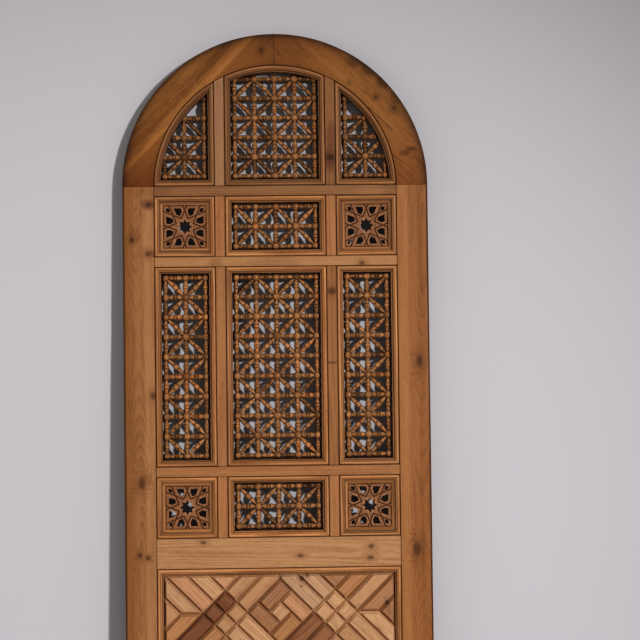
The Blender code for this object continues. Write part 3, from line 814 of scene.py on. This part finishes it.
# Half of each spindle, as share of its length, radius and shade; the other half mirrors it. The shade is
# painted shade, darkest in the grooves and next to the ball.
level_half = (
    (0.0, 0.0052, 0.4), (0.05, 0.0050, 0.8), (0.18, 0.0058, 1.0), (0.33, 0.0072, 1.0),
    (0.345, 0.0072, 0.7), (0.356, 0.0052, 0.06), (0.375, 0.0052, 0.06), (0.388, 0.0072, 0.9),
    (0.420, 0.0073, 0.9), (0.431, 0.0055, 0.08), (0.450, 0.0055, 0.08), (0.461, 0.0073, 0.9),
    (0.495, 0.0074, 1.0),
)
upright_half = (
    (0.0, 0.0046, 0.4), (0.05, 0.0044, 0.8), (0.15, 0.0048, 1.0), (0.25, 0.0057, 1.0),
    (0.33, 0.0067, 1.0), (0.368, 0.0071, 0.9), (0.380, 0.0056, 0.08), (0.396, 0.0056, 0.08),
    (0.408, 0.0071, 1.0), (0.450, 0.0074, 1.0), (0.495, 0.0075, 1.0),
)
slanting_half = (
    (0.0, 0.0036, 0.4), (0.05, 0.0036, 0.8), (0.16, 0.0046, 1.0), (0.28, 0.0056, 1.0),
    (0.350, 0.0062, 0.9), (0.360, 0.0042, 0.06), (0.380, 0.0042, 0.06), (0.391, 0.0060, 0.9),
    (0.430, 0.0065, 1.0), (0.495, 0.0066, 1.0),
)
# The tenon's painted shade deepens towards its end under the moulding.
tenon = [(0.0, 0.0034, 0.7), (0.3, 0.0032, 0.6), (1.0, 0.0034, 0.4)]


def whole(half):
    return list(half) + [(1 - share, radius, shade) for share, radius, shade in reversed(half)]


def painted_flank_shade(out):
    """Painted shade: turned parts are lighter in front and darker on their flanks and back."""
    return 0.58 + 0.50 * max(0.0, -out.normalized().y)


def turned_stain(seed, level):
    """Most turned parts are alike; one in seven is a good deal darker, and one in nine is redder."""
    draw = random.Random(seed * 13 + 5)
    light = level * draw.uniform(0.80, 1.12)
    if draw.random() < 0.14:
        light *= 0.62
    red = 0.12 if draw.random() < 0.11 else draw.uniform(-0.03, 0.03)
    return (light * (1 + red), light, light * (1 - red))


def turned_spindle(start, end, outline, seed, level, cut=1.0):
    """A spindle turned on a lathe from start to end; cut leaves off what lies beyond that share of it."""
    draw = random.Random(seed)
    log = where_in_log(seed)
    stain = turned_stain(seed, level)
    axis = (end - start).normalized()
    length = (end - start).length
    side = Vector((0, 1, 0)).cross(axis).normalized()
    up = axis.cross(side)
    stout = draw.uniform(0.94, 1.06)
    slip = draw.uniform(-0.012, 0.012)
    rings, tints = [], []
    for share, radius, shade in outline:
        moved = share + slip if 0.1 < share < 0.9 else share
        if moved > cut:
            break
        ring = []
        for step in range(spindle_sides):
            turn = math.tau * step / spindle_sides
            out = (side * math.cos(turn) + up * math.sin(turn)) * radius * stout
            grain = Vector((out.dot(side), out.dot(up), moved * length)) + log
            ring.append((start + axis * (moved * length) + out, grain))
            # Painted shade: from the outline's shades, and darker on the flanks and back.
            tints.append(darkened(stain, shade * painted_flank_shade(out)))
        rings.append(ring)
    return (*loft(rings), tints)


def turned_ball(centre, directions, seed, level):
    """A ball with a small flat round each spindle's hole and a flattened face and back."""
    draw = random.Random(seed)
    log = where_in_log(seed)
    stain = turned_stain(seed + 77, level)
    radius = ball_radius * draw.uniform(0.97, 1.04)
    tilt = draw.uniform(-0.15, 0.15)
    rings, tints = [], []
    for band in range(1, ball_bands):
        slope = math.pi * band / ball_bands
        ring = []
        for step in range(ball_sides):
            turn = math.tau * step / ball_sides
            flat = math.sin(slope)
            out = Vector((flat * math.cos(turn), flat * math.sin(turn), -math.cos(slope))) * radius
            shade = 1.0
            # Painted shade on the small flat round each spindle's hole.
            for direction in directions:
                over = out.dot(direction) - ball_flat
                if over > 0:
                    out -= direction * over * 0.9
                    shade = 0.5
            # Painted shade: darker on the ball's flanks and back.
            shade *= painted_flank_shade(out)
            out.y *= ball_squash
            ring.append((centre + out, Vector((out.x + out.z * tilt, out.y, out.z)) + log))
            tints.append(darkened(stain, shade))
        rings.append(ring)
    return (*loft(rings), tints)


class Lattice(Workpiece):
    """The balls on a grid inside the mouldings of one light, and the spindles between them."""

    def __init__(self, number, node, across, down, first_star, level):
        super().__init__()
        self.number, self.first_star, self.level = number, first_star, level
        self.across, self.down = across, down
        low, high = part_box(node.replace("lattice", "moulding"))
        self.left, self.right = low.x + strip_width, high.x - strip_width
        self.foot, self.top = low.z + strip_width, high.z - strip_width
        self.arched = "arch" in node
        self.limit = head_inner - strip_width if self.arched else math.inf
        plane = (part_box(node)[0].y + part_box(node)[1].y) / 2
        room = self.right - self.left - 2 * ball_margin
        columns = [self.left + ball_margin + room * step / (across - 1) for step in range(across)]
        self.pitch = arch_pitch if self.arched else (self.top - self.foot - 2 * ball_margin) / (down - 1)
        self.column_pitch = columns[1] - columns[0]
        self.balls = {}
        for column, x in enumerate(columns):
            for row in range(down):
                spot = Vector((x, plane, self.foot + ball_margin + self.pitch * row))
                if self.from_head_middle(spot).length < self.limit + ball_cover:
                    self.balls[column, row] = spot

    def from_head_middle(self, spot):
        return Vector((spot.x - leaf_middle, 0, spot.z - springing_line))

    def room_to_bow(self, start, direction):
        """How far a spindle can run before its tenon ends in the bow."""
        flat = self.from_head_middle(start)
        along = flat.dot(direction)
        return math.sqrt(along**2 - flat.length_squared + (self.limit + tenon_reach) ** 2) - along

    def add_cut_spindle(self, start, end, outline, seed):
        """A spindle towards a ball that the bow leaves no room for: it ends in the bow."""
        if self.from_head_middle(start).length > self.limit - spindle_room:
            return
        cut = self.room_to_bow(start, (end - start).normalized()) / (end - start).length
        if cut > 1:
            outline = outline + [(cut, *outline[-1][1:])]
        self.add(*turned_spindle(start, end, outline, seed, self.level, cut))

    def add_tenon(self, start, over, up, seed):
        """The short tenon of an outer ball, let into the moulding beside it."""
        direction = Vector((over, 0, up))
        wall = {(1, 0): self.right, (-1, 0): self.left, (0, 1): self.top, (0, -1): self.foot}[over, up]
        reach = abs(wall - (start.x if up == 0 else start.z)) + tenon_reach
        if self.arched and up >= 0:
            if self.from_head_middle(start).length > self.limit:
                return
            reach = min(reach, self.room_to_bow(start, direction))
        self.add(*turned_spindle(start, start + direction * reach, tenon, seed, self.level))

    def add_ball(self, column, row):
        """A ball with what is plugged into it; each spindle is added with the first of its two balls."""
        centre = self.balls[column, row]
        seed = self.number * 10000 + column * 100 + row
        star = (column + row) % 2 == self.first_star
        directions = []
        for step, (over, up) in enumerate(eighths):
            slanting = over != 0 and up != 0
            other = column + over, row + up
            on_grid = 0 <= other[0] < self.across and 0 <= other[1] < self.down
            aim = Vector((over * self.column_pitch, 0, up * self.pitch))
            nearer = min(self.from_head_middle(spot).length for spot in (centre, centre + aim))
            if slanting and (not star or not on_grid or nearer > self.limit - ball_radius):
                continue
            direction = aim.normalized()
            directions.append(direction)
            start, end = centre + direction * spindle_start, centre + aim - direction * spindle_start
            outline = whole(slanting_half if slanting else level_half if up == 0 else upright_half)
            if not on_grid:
                self.add_tenon(start, over, up, seed * 10 + step)
            elif other not in self.balls:
                self.add_cut_spindle(start, end, outline, seed * 10 + step)
            elif step < 4:
                end = self.balls[other] - direction * spindle_start
                self.add(*turned_spindle(start, end, outline, seed * 10 + step, self.level))
        self.add(*turned_ball(centre, directions, seed, self.level))


# Each lattice: balls across and up, 0 if the corner ball has slanting spindles or else 1, and how light.
lattice_plan = {
    "lattice_arch_left": (3, 5, 0, 0.94),
    "lattice_arch_centre": (5, 6, 0, 1.0),
    "lattice_arch_right": (3, 5, 0, 0.94),
    "lattice_upper_centre": (5, 3, 0, 1.08),
    "lattice_middle_left": (3, 10, 1, 1.10),
    "lattice_middle_centre": (5, 10, 0, 1.12),
    "lattice_middle_right": (3, 10, 1, 1.12),
    "lattice_lower_centre": (5, 3, 0, 1.08),
}
for number, (node, plan) in enumerate(lattice_plan.items()):
    lattice = Lattice(number, node, *plan)
    for column, row in lattice.balls:
        lattice.add_ball(column, row)
    lattice.finish("turned_" + node, node, "pine_lattice", lattice_pine)


# ---------------------------------------------------------------------------------------------
# The pierced panels. A pine plate 105 mm square, fretted with an eight-pointed star in a net of
# straps; every strap is scored along its middle. Each sits in a plain frame splayed inwards.
# ---------------------------------------------------------------------------------------------

# Holes and straps, in halves of the plate's width from its middle.
star_tips, star_valleys = 0.345, 0.225
petal = ((-0.50, 0.87), (-0.17, 0.87), (-0.13, 0.70), (-0.23, 0.51), (-0.39, 0.57))
corner_kite = ((0.88, 0.88), (0.73, 0.86), (0.68, 0.68), (0.86, 0.73))
strap_point, strap_bend, strap_end = 0.785, 0.425, 0.985
score_half, score_floor = 0.0016, 0.55
score_depth, score_slope = 0.0020, 2.4
edge_round = 0.0006
lip_width = 0.0017
plate_spare = 0.006
star_level = {"upper": 0.84, "lower": 0.86}
# Tints of the plate: painted shade in the scored grooves and on the back, which darkens the hole walls
# towards it; painted highlight on the lips and the rounded rims of the holes.
groove_painted_shade, strap_tint, back_painted_shade = (0.50, 0.38, 0.30), (0.90, 0.87, 0.84), (0.3, 0.26, 0.23)
lip_painted_highlight, rim_painted_highlight = (1.18, 1.22, 1.28), (1.25, 1.32, 1.40)
star_pine = old_pine(
    "pierced_star_pine", (0.42, 0.210, 0.102), (0.175, 0.074, 0.029), 0.5, 0.8,
    ring_gap=0.0032, clear_share=0.95, fine=2.5,
)


def quarter_turns(outline):
    turned = [list(outline)]
    for _ in range(3):
        turned.append([(-y, x) for x, y in turned[-1]])
    return turned


def signed_area(outline):
    return sum(a[0] * b[1] - b[0] * a[1] for a, b in sides_of(outline)) / 2


def grown(outline, distance):
    """A closed outline moved outwards, keeping its corners sharp."""
    side = math.copysign(1, signed_area(outline))
    moved = []
    for before, here, after in zip(outline[-1:] + outline[:-1], outline, outline[1:] + outline[:1]):
        outwards = []
        for a, b in ((before, here), (here, after)):
            length = math.dist(a, b)
            outwards.append(((b[1] - a[1]) / length * side, -(b[0] - a[0]) / length * side))
        (x, y), (next_x, next_y) = outwards
        share = max(0.25, 1 + x * next_x + y * next_y)
        moved.append((here[0] + distance * (x + next_x) / share, here[1] + distance * (y + next_y) / share))
    return moved


def inside(point, outline):
    crossings = 0
    for a, b in sides_of(outline):
        if (a[1] > point[1]) != (b[1] > point[1]):
            crossings += point[0] < a[0] + (point[1] - a[1]) / (b[1] - a[1]) * (b[0] - a[0])
    return crossings % 2 == 1


def plate_holes(half):
    """The star and the eight petals and four kites round it."""
    star = []
    for step in range(16):
        reach = star_valleys if step % 2 else star_tips
        star.append((-reach * math.sin(step * math.pi / 8), reach * math.cos(step * math.pi / 8)))
    holes = [star]
    for outline in (petal, [(-x, y) for x, y in reversed(petal)], corner_kite):
        holes += quarter_turns(outline)
    return [[(x * half, y * half) for x, y in hole] for hole in holes]


def at_eighth(reach, eighth):
    return Vector((reach * math.sin(eighth * math.pi / 4), reach * math.cos(eighth * math.pi / 4)))


def strap_lines(half):
    """The middle lines of the straps: a larger star's outline, each line carried on to the plate's edge."""
    lines = []
    for tip in range(8):
        for bend in (at_eighth(strap_bend, tip + 0.5), at_eighth(strap_bend, (tip + 7.5) % 8)):
            way = at_eighth(strap_point, tip) - bend
            moving = [(at, step) for at, step in zip(bend, way) if abs(step) > 1e-6]
            reach = min((math.copysign(strap_end, step) - at) / step for at, step in moving)
            lines.append((bend * half, (bend + way * reach) * half))
    return lines


def gap_to(place, line):
    """How far a point is from the line between two others."""
    foot, share = geometry.intersect_point_line(place, *line)
    return (place - foot).length if 0 <= share <= 1 else min((place - end).length for end in line)


def cut_net(half, holes, lines):
    """The plate's face as a flat net of triangles, cut round the holes and beside every score."""
    corners, edges = [], []
    square = [(-half, -half), (half, -half), (half, half), (-half, half)]
    outlines = [square, grown(square, -edge_round)]
    for hole in holes:
        outlines += [hole, grown(hole, edge_round), grown(hole, lip_width)]
    for outline in outlines:
        first = len(corners)
        corners += [Vector(point) for point in outline]
        edges += sides_of(list(range(first, len(corners))))
    for start, end in lines:
        way = (end - start).normalized()
        off = Vector((-way.y, way.x)) * score_half
        for shift in (off * score_floor, off * -score_floor, off, -off):
            corners += [start + shift, end + shift]
            edges.append((len(corners) - 2, len(corners) - 1))
    points, _, triangles, _, _, _ = geometry.delaunay_2d_cdt(corners, edges, [], 0, 1e-6)
    kept = []
    for triangle in triangles:
        centre = sum((points[corner] for corner in triangle), Vector((0, 0))) / 3
        if inside(centre, square) and not any(inside(centre, hole) for hole in holes):
            kept.append(tuple(triangle))
    return points, kept


def pierced_plate(low, high, seed, level):
    """The plate: its net sunk along every scored line, rounded at every edge, then given its thickness."""
    half = (high.x - low.x) / 2
    middle = Vector(((low.x + high.x) / 2, 0, (low.z + high.z) / 2))
    log = where_in_log(seed)
    holes, lines = plate_holes(half), strap_lines(half)
    points, net = cut_net(half, holes, lines)
    used = sorted({corner for triangle in net for corner in triangle})
    place_of = {corner: place for place, corner in enumerate(used)}
    edges = [edge for triangle in net for edge in sides_of(triangle)]
    known = set(edges)
    rim = [(a, b) for a, b in edges if (b, a) not in known]
    on_rim = {corner for edge in rim for corner in edge}
    hole_sides = [(Vector(a), Vector(b)) for hole in holes for a, b in sides_of(hole)]
    fronts, backs, tints = [], [], []
    for corner in used:
        x, z = points[corner]
        from_line = min(gap_to(points[corner], line) for line in lines)
        sink = score_depth * max(0.0, min(1.0, score_slope * (1 - from_line / score_half)))
        # Painted shade in the grooves, painted highlight on the lips and the rounded rim.
        tint = groove_painted_shade if sink > 0.6 * score_depth else strap_tint
        from_hole = min(gap_to(points[corner], side) for side in hole_sides)
        if sink < 0.2 * score_depth and from_hole < lip_width + 0.0002:
            tint = lip_painted_highlight
        if corner in on_rim:
            sink = max(sink, edge_round)
            tint = rim_painted_highlight
        tints.append(darkened(tint, level))
        fronts.append(Vector((middle.x + x, low.y + sink, middle.z + z)))
        backs.append(Vector((middle.x + x, high.y + plate_spare, middle.z + z)))
    # Painted shade on the back, darkening the hole walls towards it.
    tints += [darkened(back_painted_shade, level)] * len(used)
    count = len(used)
    faces = [tuple(place_of[corner] for corner in triangle) for triangle in net]
    faces += [tuple(count + place_of[corner] for corner in triangle[::-1]) for triangle in net]
    faces += [(place_of[b], place_of[a], count + place_of[a], count + place_of[b]) for a, b in rim]
    places = fronts + backs
    return places, [place - middle + log for place in places], faces, tints


for number, node in enumerate(sorted(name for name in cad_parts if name.startswith("star_panel"))):
    plate_low, plate_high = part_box(node)
    level = star_level[node.split("_")[2]]
    plate = Workpiece()
    plate.add(*pierced_plate(plate_low, plate_high, 400 + number, level))
    plate.finish("pierced_" + node, node, "pine_star", star_pine)

    node = node.replace("panel", "frame")
    low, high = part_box(node)
    splay = (high.x - low.x - (plate_high.x - plate_low.x)) / 2 - 0.0003
    front, plate_front, back = low.y - leaf_front, plate_low.y - leaf_front, high.y - leaf_front
    section = [(0.0, back), (0.0, front), (0.0008, front + 0.0002), (splay - 0.0009, plate_front - 0.0010)]
    section += [(splay - 0.0004, plate_front - 0.0002), (splay, plate_front + 0.0006), (splay, back)]
    rim = Workpiece()
    for step, side in enumerate(sides_of_light(low, high)):
        seed = 600 + number * 4 + step
        rim.add(*mitred_strip(*side, section, seed), strip_stain(seed, level))
    rim.finish("splayed_" + node, node, "pine_moulding", moulding_pine)


# ---------------------------------------------------------------------------------------------
# The lower panel. Strips and blocks of mixed pine glued slantwise on a board: pinwheels round a
# block, knots of four blocks, and pairs of strips between them. Each has a raised field with a
# shoulder, and bevels that run down to a dark joint.
# ---------------------------------------------------------------------------------------------

panel_low, panel_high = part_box("lower_panel")
panel_middle = (panel_low + panel_high) / 2
half_wide, half_tall = (panel_high.x - panel_low.x) / 2, (panel_high.z - panel_low.z) / 2
strip_diagonal = 0.0538
repeat = 5
slant = 0.7071
field_depth = panel_low.y - leaf_front
joint_depth = 0.0138
block_back = 0.0165
board_back = panel_high.y - leaf_front
block_gap = 0.00018
bevel = 0.0058
shoulder = 0.0054
board_tint = (0.8, 0.78, 0.75)
parquet_knots = (
    (0.054, 0.965, 0.0055, (1, 0.8)),
    (0.068, 0.955, 0.0045, (1.2, 0.7)),
    (0.053, 0.982, 0.0026, (1, 1)),
    (0.262, 1.025, 0.005, (1.2, 0.8)),
)
parquet_pine = old_pine(
    "mixed_parquet_pine", (0.53, 0.312, 0.178), (0.225, 0.102, 0.042), 0.70, 0.10, parquet_knots,
    ring_gap=0.0026, clear_share=0.9, rings=0.4, fine=3.0,
)
woods = {
    "honey": (1.00, 0.98, 0.92),
    "pale": (1.12, 1.15, 1.14),
    "pink": (1.06, 1.00, 0.97),
    "grey": (1.02, 1.08, 1.14),
    "tan": (1.12, 1.14, 1.12),
    "orange": (0.94, 0.84, 0.70),
    "brown": (0.80, 0.72, 0.66),
    "red": (0.62, 0.50, 0.44),
    "dark": (0.50, 0.38, 0.33),
}
usual_woods = ("honey", "honey", "honey", "pale", "pink", "brown", "orange", "red")
# Blocks of a known wood: across and up from the panel's middle.
known_blocks = {
    "dark": ((-0.135, 0.296), (-0.161, 0.269), (-0.215, 0.215)),
    "red": ((0.054, 0.215), (0.081, 0.188)),
    "brown": ((-0.013, 0.309), (-0.040, 0.256), (0.135, 0.349), (0.249, 0.302), (0.269, 0.269)),
    "orange": ((-0.249, 0.236), (-0.188, 0.188), (0.013, 0.229), (0.175, 0.336)),
    "honey": (
        (-0.269, 0.269), (-0.094, 0.336), (-0.046, 0.328), (-0.108, 0.269), (-0.135, 0.242), (0.215, 0.323),
        (0.188, 0.188),
    ),
    "pink": ((-0.215, 0.323), (-0.135, 0.349), (0.040, 0.282)),
    "pale": (
        (-0.249, 0.302), (-0.175, 0.336), (-0.081, 0.188), (-0.054, 0.215), (0.0, 0.269), (0.249, 0.236),
        (0.215, 0.215), (0.108, 0.269),
    ),
    "tan": ((0.135, 0.296), (0.135, 0.242), (0.161, 0.269)),
    "grey": ((0.046, 0.328), (0.094, 0.336)),
}


def block(first, last, low, high):
    """A block on the slanted grid, with the way its grain runs."""
    corners = ((first, low), (last, low), (last, high), (first, high))
    outline = [((s + t) / 2 * strip_diagonal, (t - s) / 2 * strip_diagonal) for s, t in corners]
    falling = last - first > high - low or (last - first == high - low and (first + low) % 2 < 1)
    return outline, (slant, -slant) if falling else (slant, slant)


def trimmed(outline, across, up, limit):
    """An outline cut along a line: what lies further than the limit along the given way falls off."""
    kept = []
    for here, after in sides_of(outline):
        over_here, over_after = (across * spot[0] + up * spot[1] - limit for spot in (here, after))
        if over_here <= 0:
            kept.append(here)
        if over_here * over_after < 0:
            share = over_here / (over_here - over_after)
            kept.append(tuple(a + (b - a) * share for a, b in zip(here, after)))
    return kept


def off_middle(s, t):
    return abs(s + t) / 2 * strip_diagonal


def within_height(s, t):
    return abs(s - t) / 2 * strip_diagonal < half_tall


def pinwheel(s, t):
    """Four strips turned about a small block; at the panel's ends a plain square stands in its place."""
    if not within_height(s, t):
        return [block(s - 1.5, s + 1.5, t - 1.5, t + 1.5)]
    strips = [block(s - 1.5, s - 0.5, t - 0.5, t + 1.5), block(s - 0.5, s + 1.5, t + 0.5, t + 1.5)]
    strips += [block(s + 0.5, s + 1.5, t - 1.5, t + 0.5), block(s - 1.5, s + 0.5, t - 1.5, t - 0.5)]
    return strips + [block(s - 0.5, s + 0.5, t - 0.5, t + 0.5)]


def pair_of_strips(knot, far):
    """The two strips from one knot of blocks to the next; mitred where they meet at a panel's end."""
    start, end = 1 - (not within_height(*knot)), repeat - 1 + (not within_height(*far))
    pair = []
    for low in (-1, 0):
        if far[0] > knot[0]:
            outline, way = block(knot[0] + start, knot[0] + end, knot[1] + low, knot[1] + low + 1)
        else:
            outline, way = block(knot[0] + low, knot[0] + low + 1, knot[1] + start, knot[1] + end)
        for beyond, other in ((knot, far), (far, knot)):
            if not within_height(*beyond) and sum(beyond) == 0:
                outline = trimmed(outline, -math.copysign(1, sum(other)), 0, 0)
        pair.append((outline, way))
    return pair


def side_point(side, middle):
    """Two strips that meet in a point beside a pinwheel, and the upright triangle behind them."""
    tip = 3.5 * strip_diagonal
    rise, inner_rise = half_wide - tip, half_wide - tip - strip_diagonal
    outer, inner, inner_tip = side * half_wide, side * tip, side * (tip + strip_diagonal)
    parts = []
    for way in (-1, 1):
        far_end = [(outer, middle + way * rise), (outer, middle + way * inner_rise)]
        parts.append(([(inner, middle), *far_end, (inner_tip, middle)], (slant, slant * side * way)))
    triangle = [(inner_tip, middle), (outer, middle - inner_rise), (outer, middle + inner_rise)]
    return parts + [(triangle, (0.0, 1.0))]


def panel_blocks():
    """Every block of the panel from its middle, cut to the panel's edges."""
    found = []
    grid = [repeat * step for step in range(-3, 4)]
    for s in grid:
        for t in grid:
            if off_middle(s, t) < half_wide - strip_diagonal:
                found += pinwheel(s, t)
            knot = s + repeat / 2, t + repeat / 2
            if off_middle(*knot) > half_wide:
                continue
            if within_height(*knot):
                lows = [(knot[0] + a, knot[1] + b) for a in (-1, 0) for b in (-1, 0)]
                found += [block(low_s, low_s + 1, low_t, low_t + 1) for low_s, low_t in lows]
            for far in ((knot[0] + repeat, knot[1]), (knot[0], knot[1] + repeat)):
                if off_middle(*far) < half_wide and (within_height(*knot) or within_height(*far)):
                    found += pair_of_strips(knot, far)
    for side in (-1, 1):
        for middle in (-repeat * strip_diagonal, 0, repeat * strip_diagonal):
            found += side_point(side, middle)
    kept = []
    panel_edges = ((1, 0, half_wide), (-1, 0, half_wide), (0, 1, half_tall), (0, -1, half_tall))
    for outline, way in found:
        for edge in panel_edges:
            outline = trimmed(outline, *edge)
        outline = [spot for place, spot in enumerate(outline) if math.dist(spot, outline[place - 1]) > 2e-4]
        if len(outline) > 2:
            kept.append((outline, way))
    return kept


def worked_block(outline, way, seed):
    """One block from its hidden sides up its bevels and shoulder to its raised field, with a dark joint,
    painted shade at the foot of the shoulder and a paler field edge, partly rubbed and partly painted
    highlight.
    """
    around = sum(math.dist(a, b) for a, b in sides_of(outline))
    widest = min(bevel, 0.4 * 2 * abs(signed_area(outline)) / around)
    scale = widest / bevel
    field = joint_depth - (joint_depth - field_depth) * scale
    # Each step: inset, depth and shade; painted shade at the shoulder's foot, and painted highlight at the
    # field's edge.
    steps = (
        (block_gap, block_back, 0.6),
        (block_gap, joint_depth - 0.0002, 0.6),
        (block_gap + 0.0004, joint_depth - 0.0008 * scale, 1.0),
        (widest - 0.0018 * scale, field + (shoulder + 0.0006) * scale, 1.0),
        (widest - 0.0003, field + shoulder * scale, 0.85),
        (widest, field + 0.0002, 0.95),
        (widest + 0.0004, field, 1.06),
        (widest + 0.0030 * scale, field, 1.0),
    )
    middle_x, middle_z = (sum(values) / len(outline) for values in zip(*outline))
    log = where_in_log(seed)
    rings, shades = [], []
    for inset, depth, shade in steps:
        ring = []
        shades += [shade] * len(outline)
        for x, z in grown(outline, -inset):
            along, across = x * way[0] + z * way[1], (x - middle_x) * way[1] - (z - middle_z) * way[0]
            place = Vector((panel_middle.x + x, leaf_front + depth, panel_middle.z + z))
            ring.append((place, Vector((across, depth, along)) + log))
        rings.append(ring)
    return (*loft(rings), shades)


def block_stain(outline, number):
    """The wood of a block where it is known, or else a usual one."""
    draw = random.Random(number * 31 + 7)
    middle = [sum(values) / len(outline) for values in zip(*outline)]
    for wood, spots in known_blocks.items():
        if any(math.dist(spot, middle) < 0.012 for spot in spots):
            return darkened(woods[wood], draw.uniform(0.95, 1.05))
    wood = draw.choice(usual_woods)
    return darkened(woods[wood], draw.uniform(0.9, 1.1))


panel = Workpiece()
for number, (outline, way) in enumerate(panel_blocks()):
    points, grain, faces, shades = worked_block(outline, way, 900 + number)
    stain = block_stain(outline, number)
    panel.add(points, grain, faces, [darkened(stain, shade) for shade in shades])
board_log = where_in_log(899)
rings = []
for inset, depth in ((0.0, block_back + 0.0002), (0.0, board_back - 0.001), (0.001, board_back)):
    ring = []
    for x, z in ((-1, -1), (1, -1), (1, 1), (-1, 1)):
        x, z = x * (half_wide - inset), z * (half_tall - inset)
        place = Vector((panel_middle.x + x, leaf_front + depth, panel_middle.z + z))
        ring.append((place, Vector((x, depth, z)) + board_log))
    rings.append(ring)
panel.add(*loft(rings), board_tint)
panel.finish("parquetry_panel", "lower_panel", "pine_parquet", parquet_pine)


# ---------------------------------------------------------------------------------------------
# The room: a pale floor and a pale wall that the leaf leans against, its head touching the wall.
# The wall is clear from behind, so that the back of the leaf can be seen too.
# ---------------------------------------------------------------------------------------------

lean = math.tan(math.radians(1.78))
head_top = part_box("head_left")[1].z
floor_level = hinge_low.z - 0.0005


def plain_sheet(name, corners, colour, clear_behind):
    mesh = bpy.data.meshes.new(name)
    mesh.from_pydata(corners, [], [(0, 1, 2, 3)])
    sheet = bpy.data.objects.new(name, mesh)
    bpy.context.scene.collection.objects.link(sheet)
    paint = bpy.data.materials.new(name + "_paint")
    paint.use_nodes = True
    tree = paint.node_tree
    shader = tree.nodes["Principled BSDF"]
    cloud = add_node(tree, "ShaderNodeTexNoise", {"Scale": 1.2, "Detail": 2.0}).outputs["Fac"]
    colour = blend(tree, cloud, (*colour, 1), (*darkened(colour, 0.97), 1))
    tree.links.new(colour, shader.inputs["Base Color"])
    shader.inputs["Roughness"].default_value = 0.9
    shader.inputs["Specular IOR Level"].default_value = 0.15
    if clear_behind:
        behind = add_node(tree, "ShaderNodeNewGeometry").outputs["Backfacing"]
        clear = add_node(tree, "ShaderNodeBsdfTransparent").outputs[0]
        mix = add_node(tree, "ShaderNodeMixShader", {0: behind, 1: shader.outputs[0], 2: clear})
        tree.links.new(mix.outputs[0], tree.nodes["Material Output"].inputs["Surface"])
    mesh.materials.append(paint)


def wall_point(x, z):
    return Vector((x, leaf_back + 0.0006 + (head_top - z) * lean, z))


floor_corners = [Vector((x, y, floor_level)) for x, y in ((-7, -7), (8, -7), (8, 7), (-7, 7))]
wall_outline = ((-3.5, floor_level), (4.5, floor_level), (4.5, 3.2), (-3.5, 3.2))
plain_sheet("floor", floor_corners, (0.66, 0.65, 0.655), False)
plain_sheet("wall", [wall_point(x, z) for x, z in wall_outline], (0.62, 0.61, 0.635), True)

world = bpy.data.worlds.new("room_light")
world.use_nodes = True
bpy.context.scene.world = world
glow = world.node_tree.nodes["Background"]
glow.inputs["Color"].default_value = (1.0, 0.955, 0.93, 1)
seen = add_node(world.node_tree, "ShaderNodeLightPath").outputs["Is Camera Ray"]
world.node_tree.links.new(reckon(world.node_tree, "MULTIPLY_ADD", seen, 0.38, 0.31), glow.inputs["Strength"])


def add_lamp(name, kind, place, aim, energy, **settings):
    light = bpy.data.lights.new(name, kind)
    light.energy = energy
    for key, value in settings.items():
        setattr(light, key, value)
    lamp = bpy.data.objects.new(name, light)
    lamp.location = place
    lamp.rotation_euler = (Vector(aim) - Vector(place)).to_track_quat("-Z", "Y").to_euler()
    bpy.context.scene.collection.objects.link(lamp)
    return lamp


leaf_centre = Vector((leaf_middle, leaf_front, springing_line - 0.9))
window = leaf_centre + Vector((0.545, -1.0, 0.25)).normalized() * 9
add_lamp(
    "window_light", "SPOT", window, leaf_centre + Vector((-0.38, 0, -0.12)), 1695,
    spot_size=math.radians(30), spot_blend=1.0, shadow_soft_size=0.27, color=(0.985, 0.99, 1.0),
)
far_wall = (leaf_middle - 3.2, -1.6, 1.2)
add_lamp("far_wall_glow", "AREA", far_wall, leaf_centre, 7, size=2.0, color=(1.0, 0.97, 0.94))
# This lamp is for views from behind. It lights the leaf alone, as if the wall weren't there.
behind = (leaf_middle, 9.0, leaf_centre.z)
back_lamp = add_lamp("back_light", "AREA", behind, leaf_centre, 170, size=0.4, color=(1.0, 0.99, 0.97))
back_lamp.data.cycles.max_bounces = 0
back_lamp.visible_glossy = False
back_lamp.light_linking.receiver_collection = leaf_pieces
back_lamp.light_linking.blocker_collection = leaf_pieces

camera = bpy.data.objects.new("camera", bpy.data.cameras.new("camera"))
camera.data.lens = 91.9
camera.location = (0.361, -4.026, 0.439)
camera.rotation_euler = [math.radians(angle) for angle in (91.803, 0.692, -1.698)]
bpy.context.scene.collection.objects.link(camera)
bpy.context.scene.camera = camera
bpy.context.scene.view_settings.view_transform = "Standard"
bpy.context.scene.view_settings.look = "High Contrast"
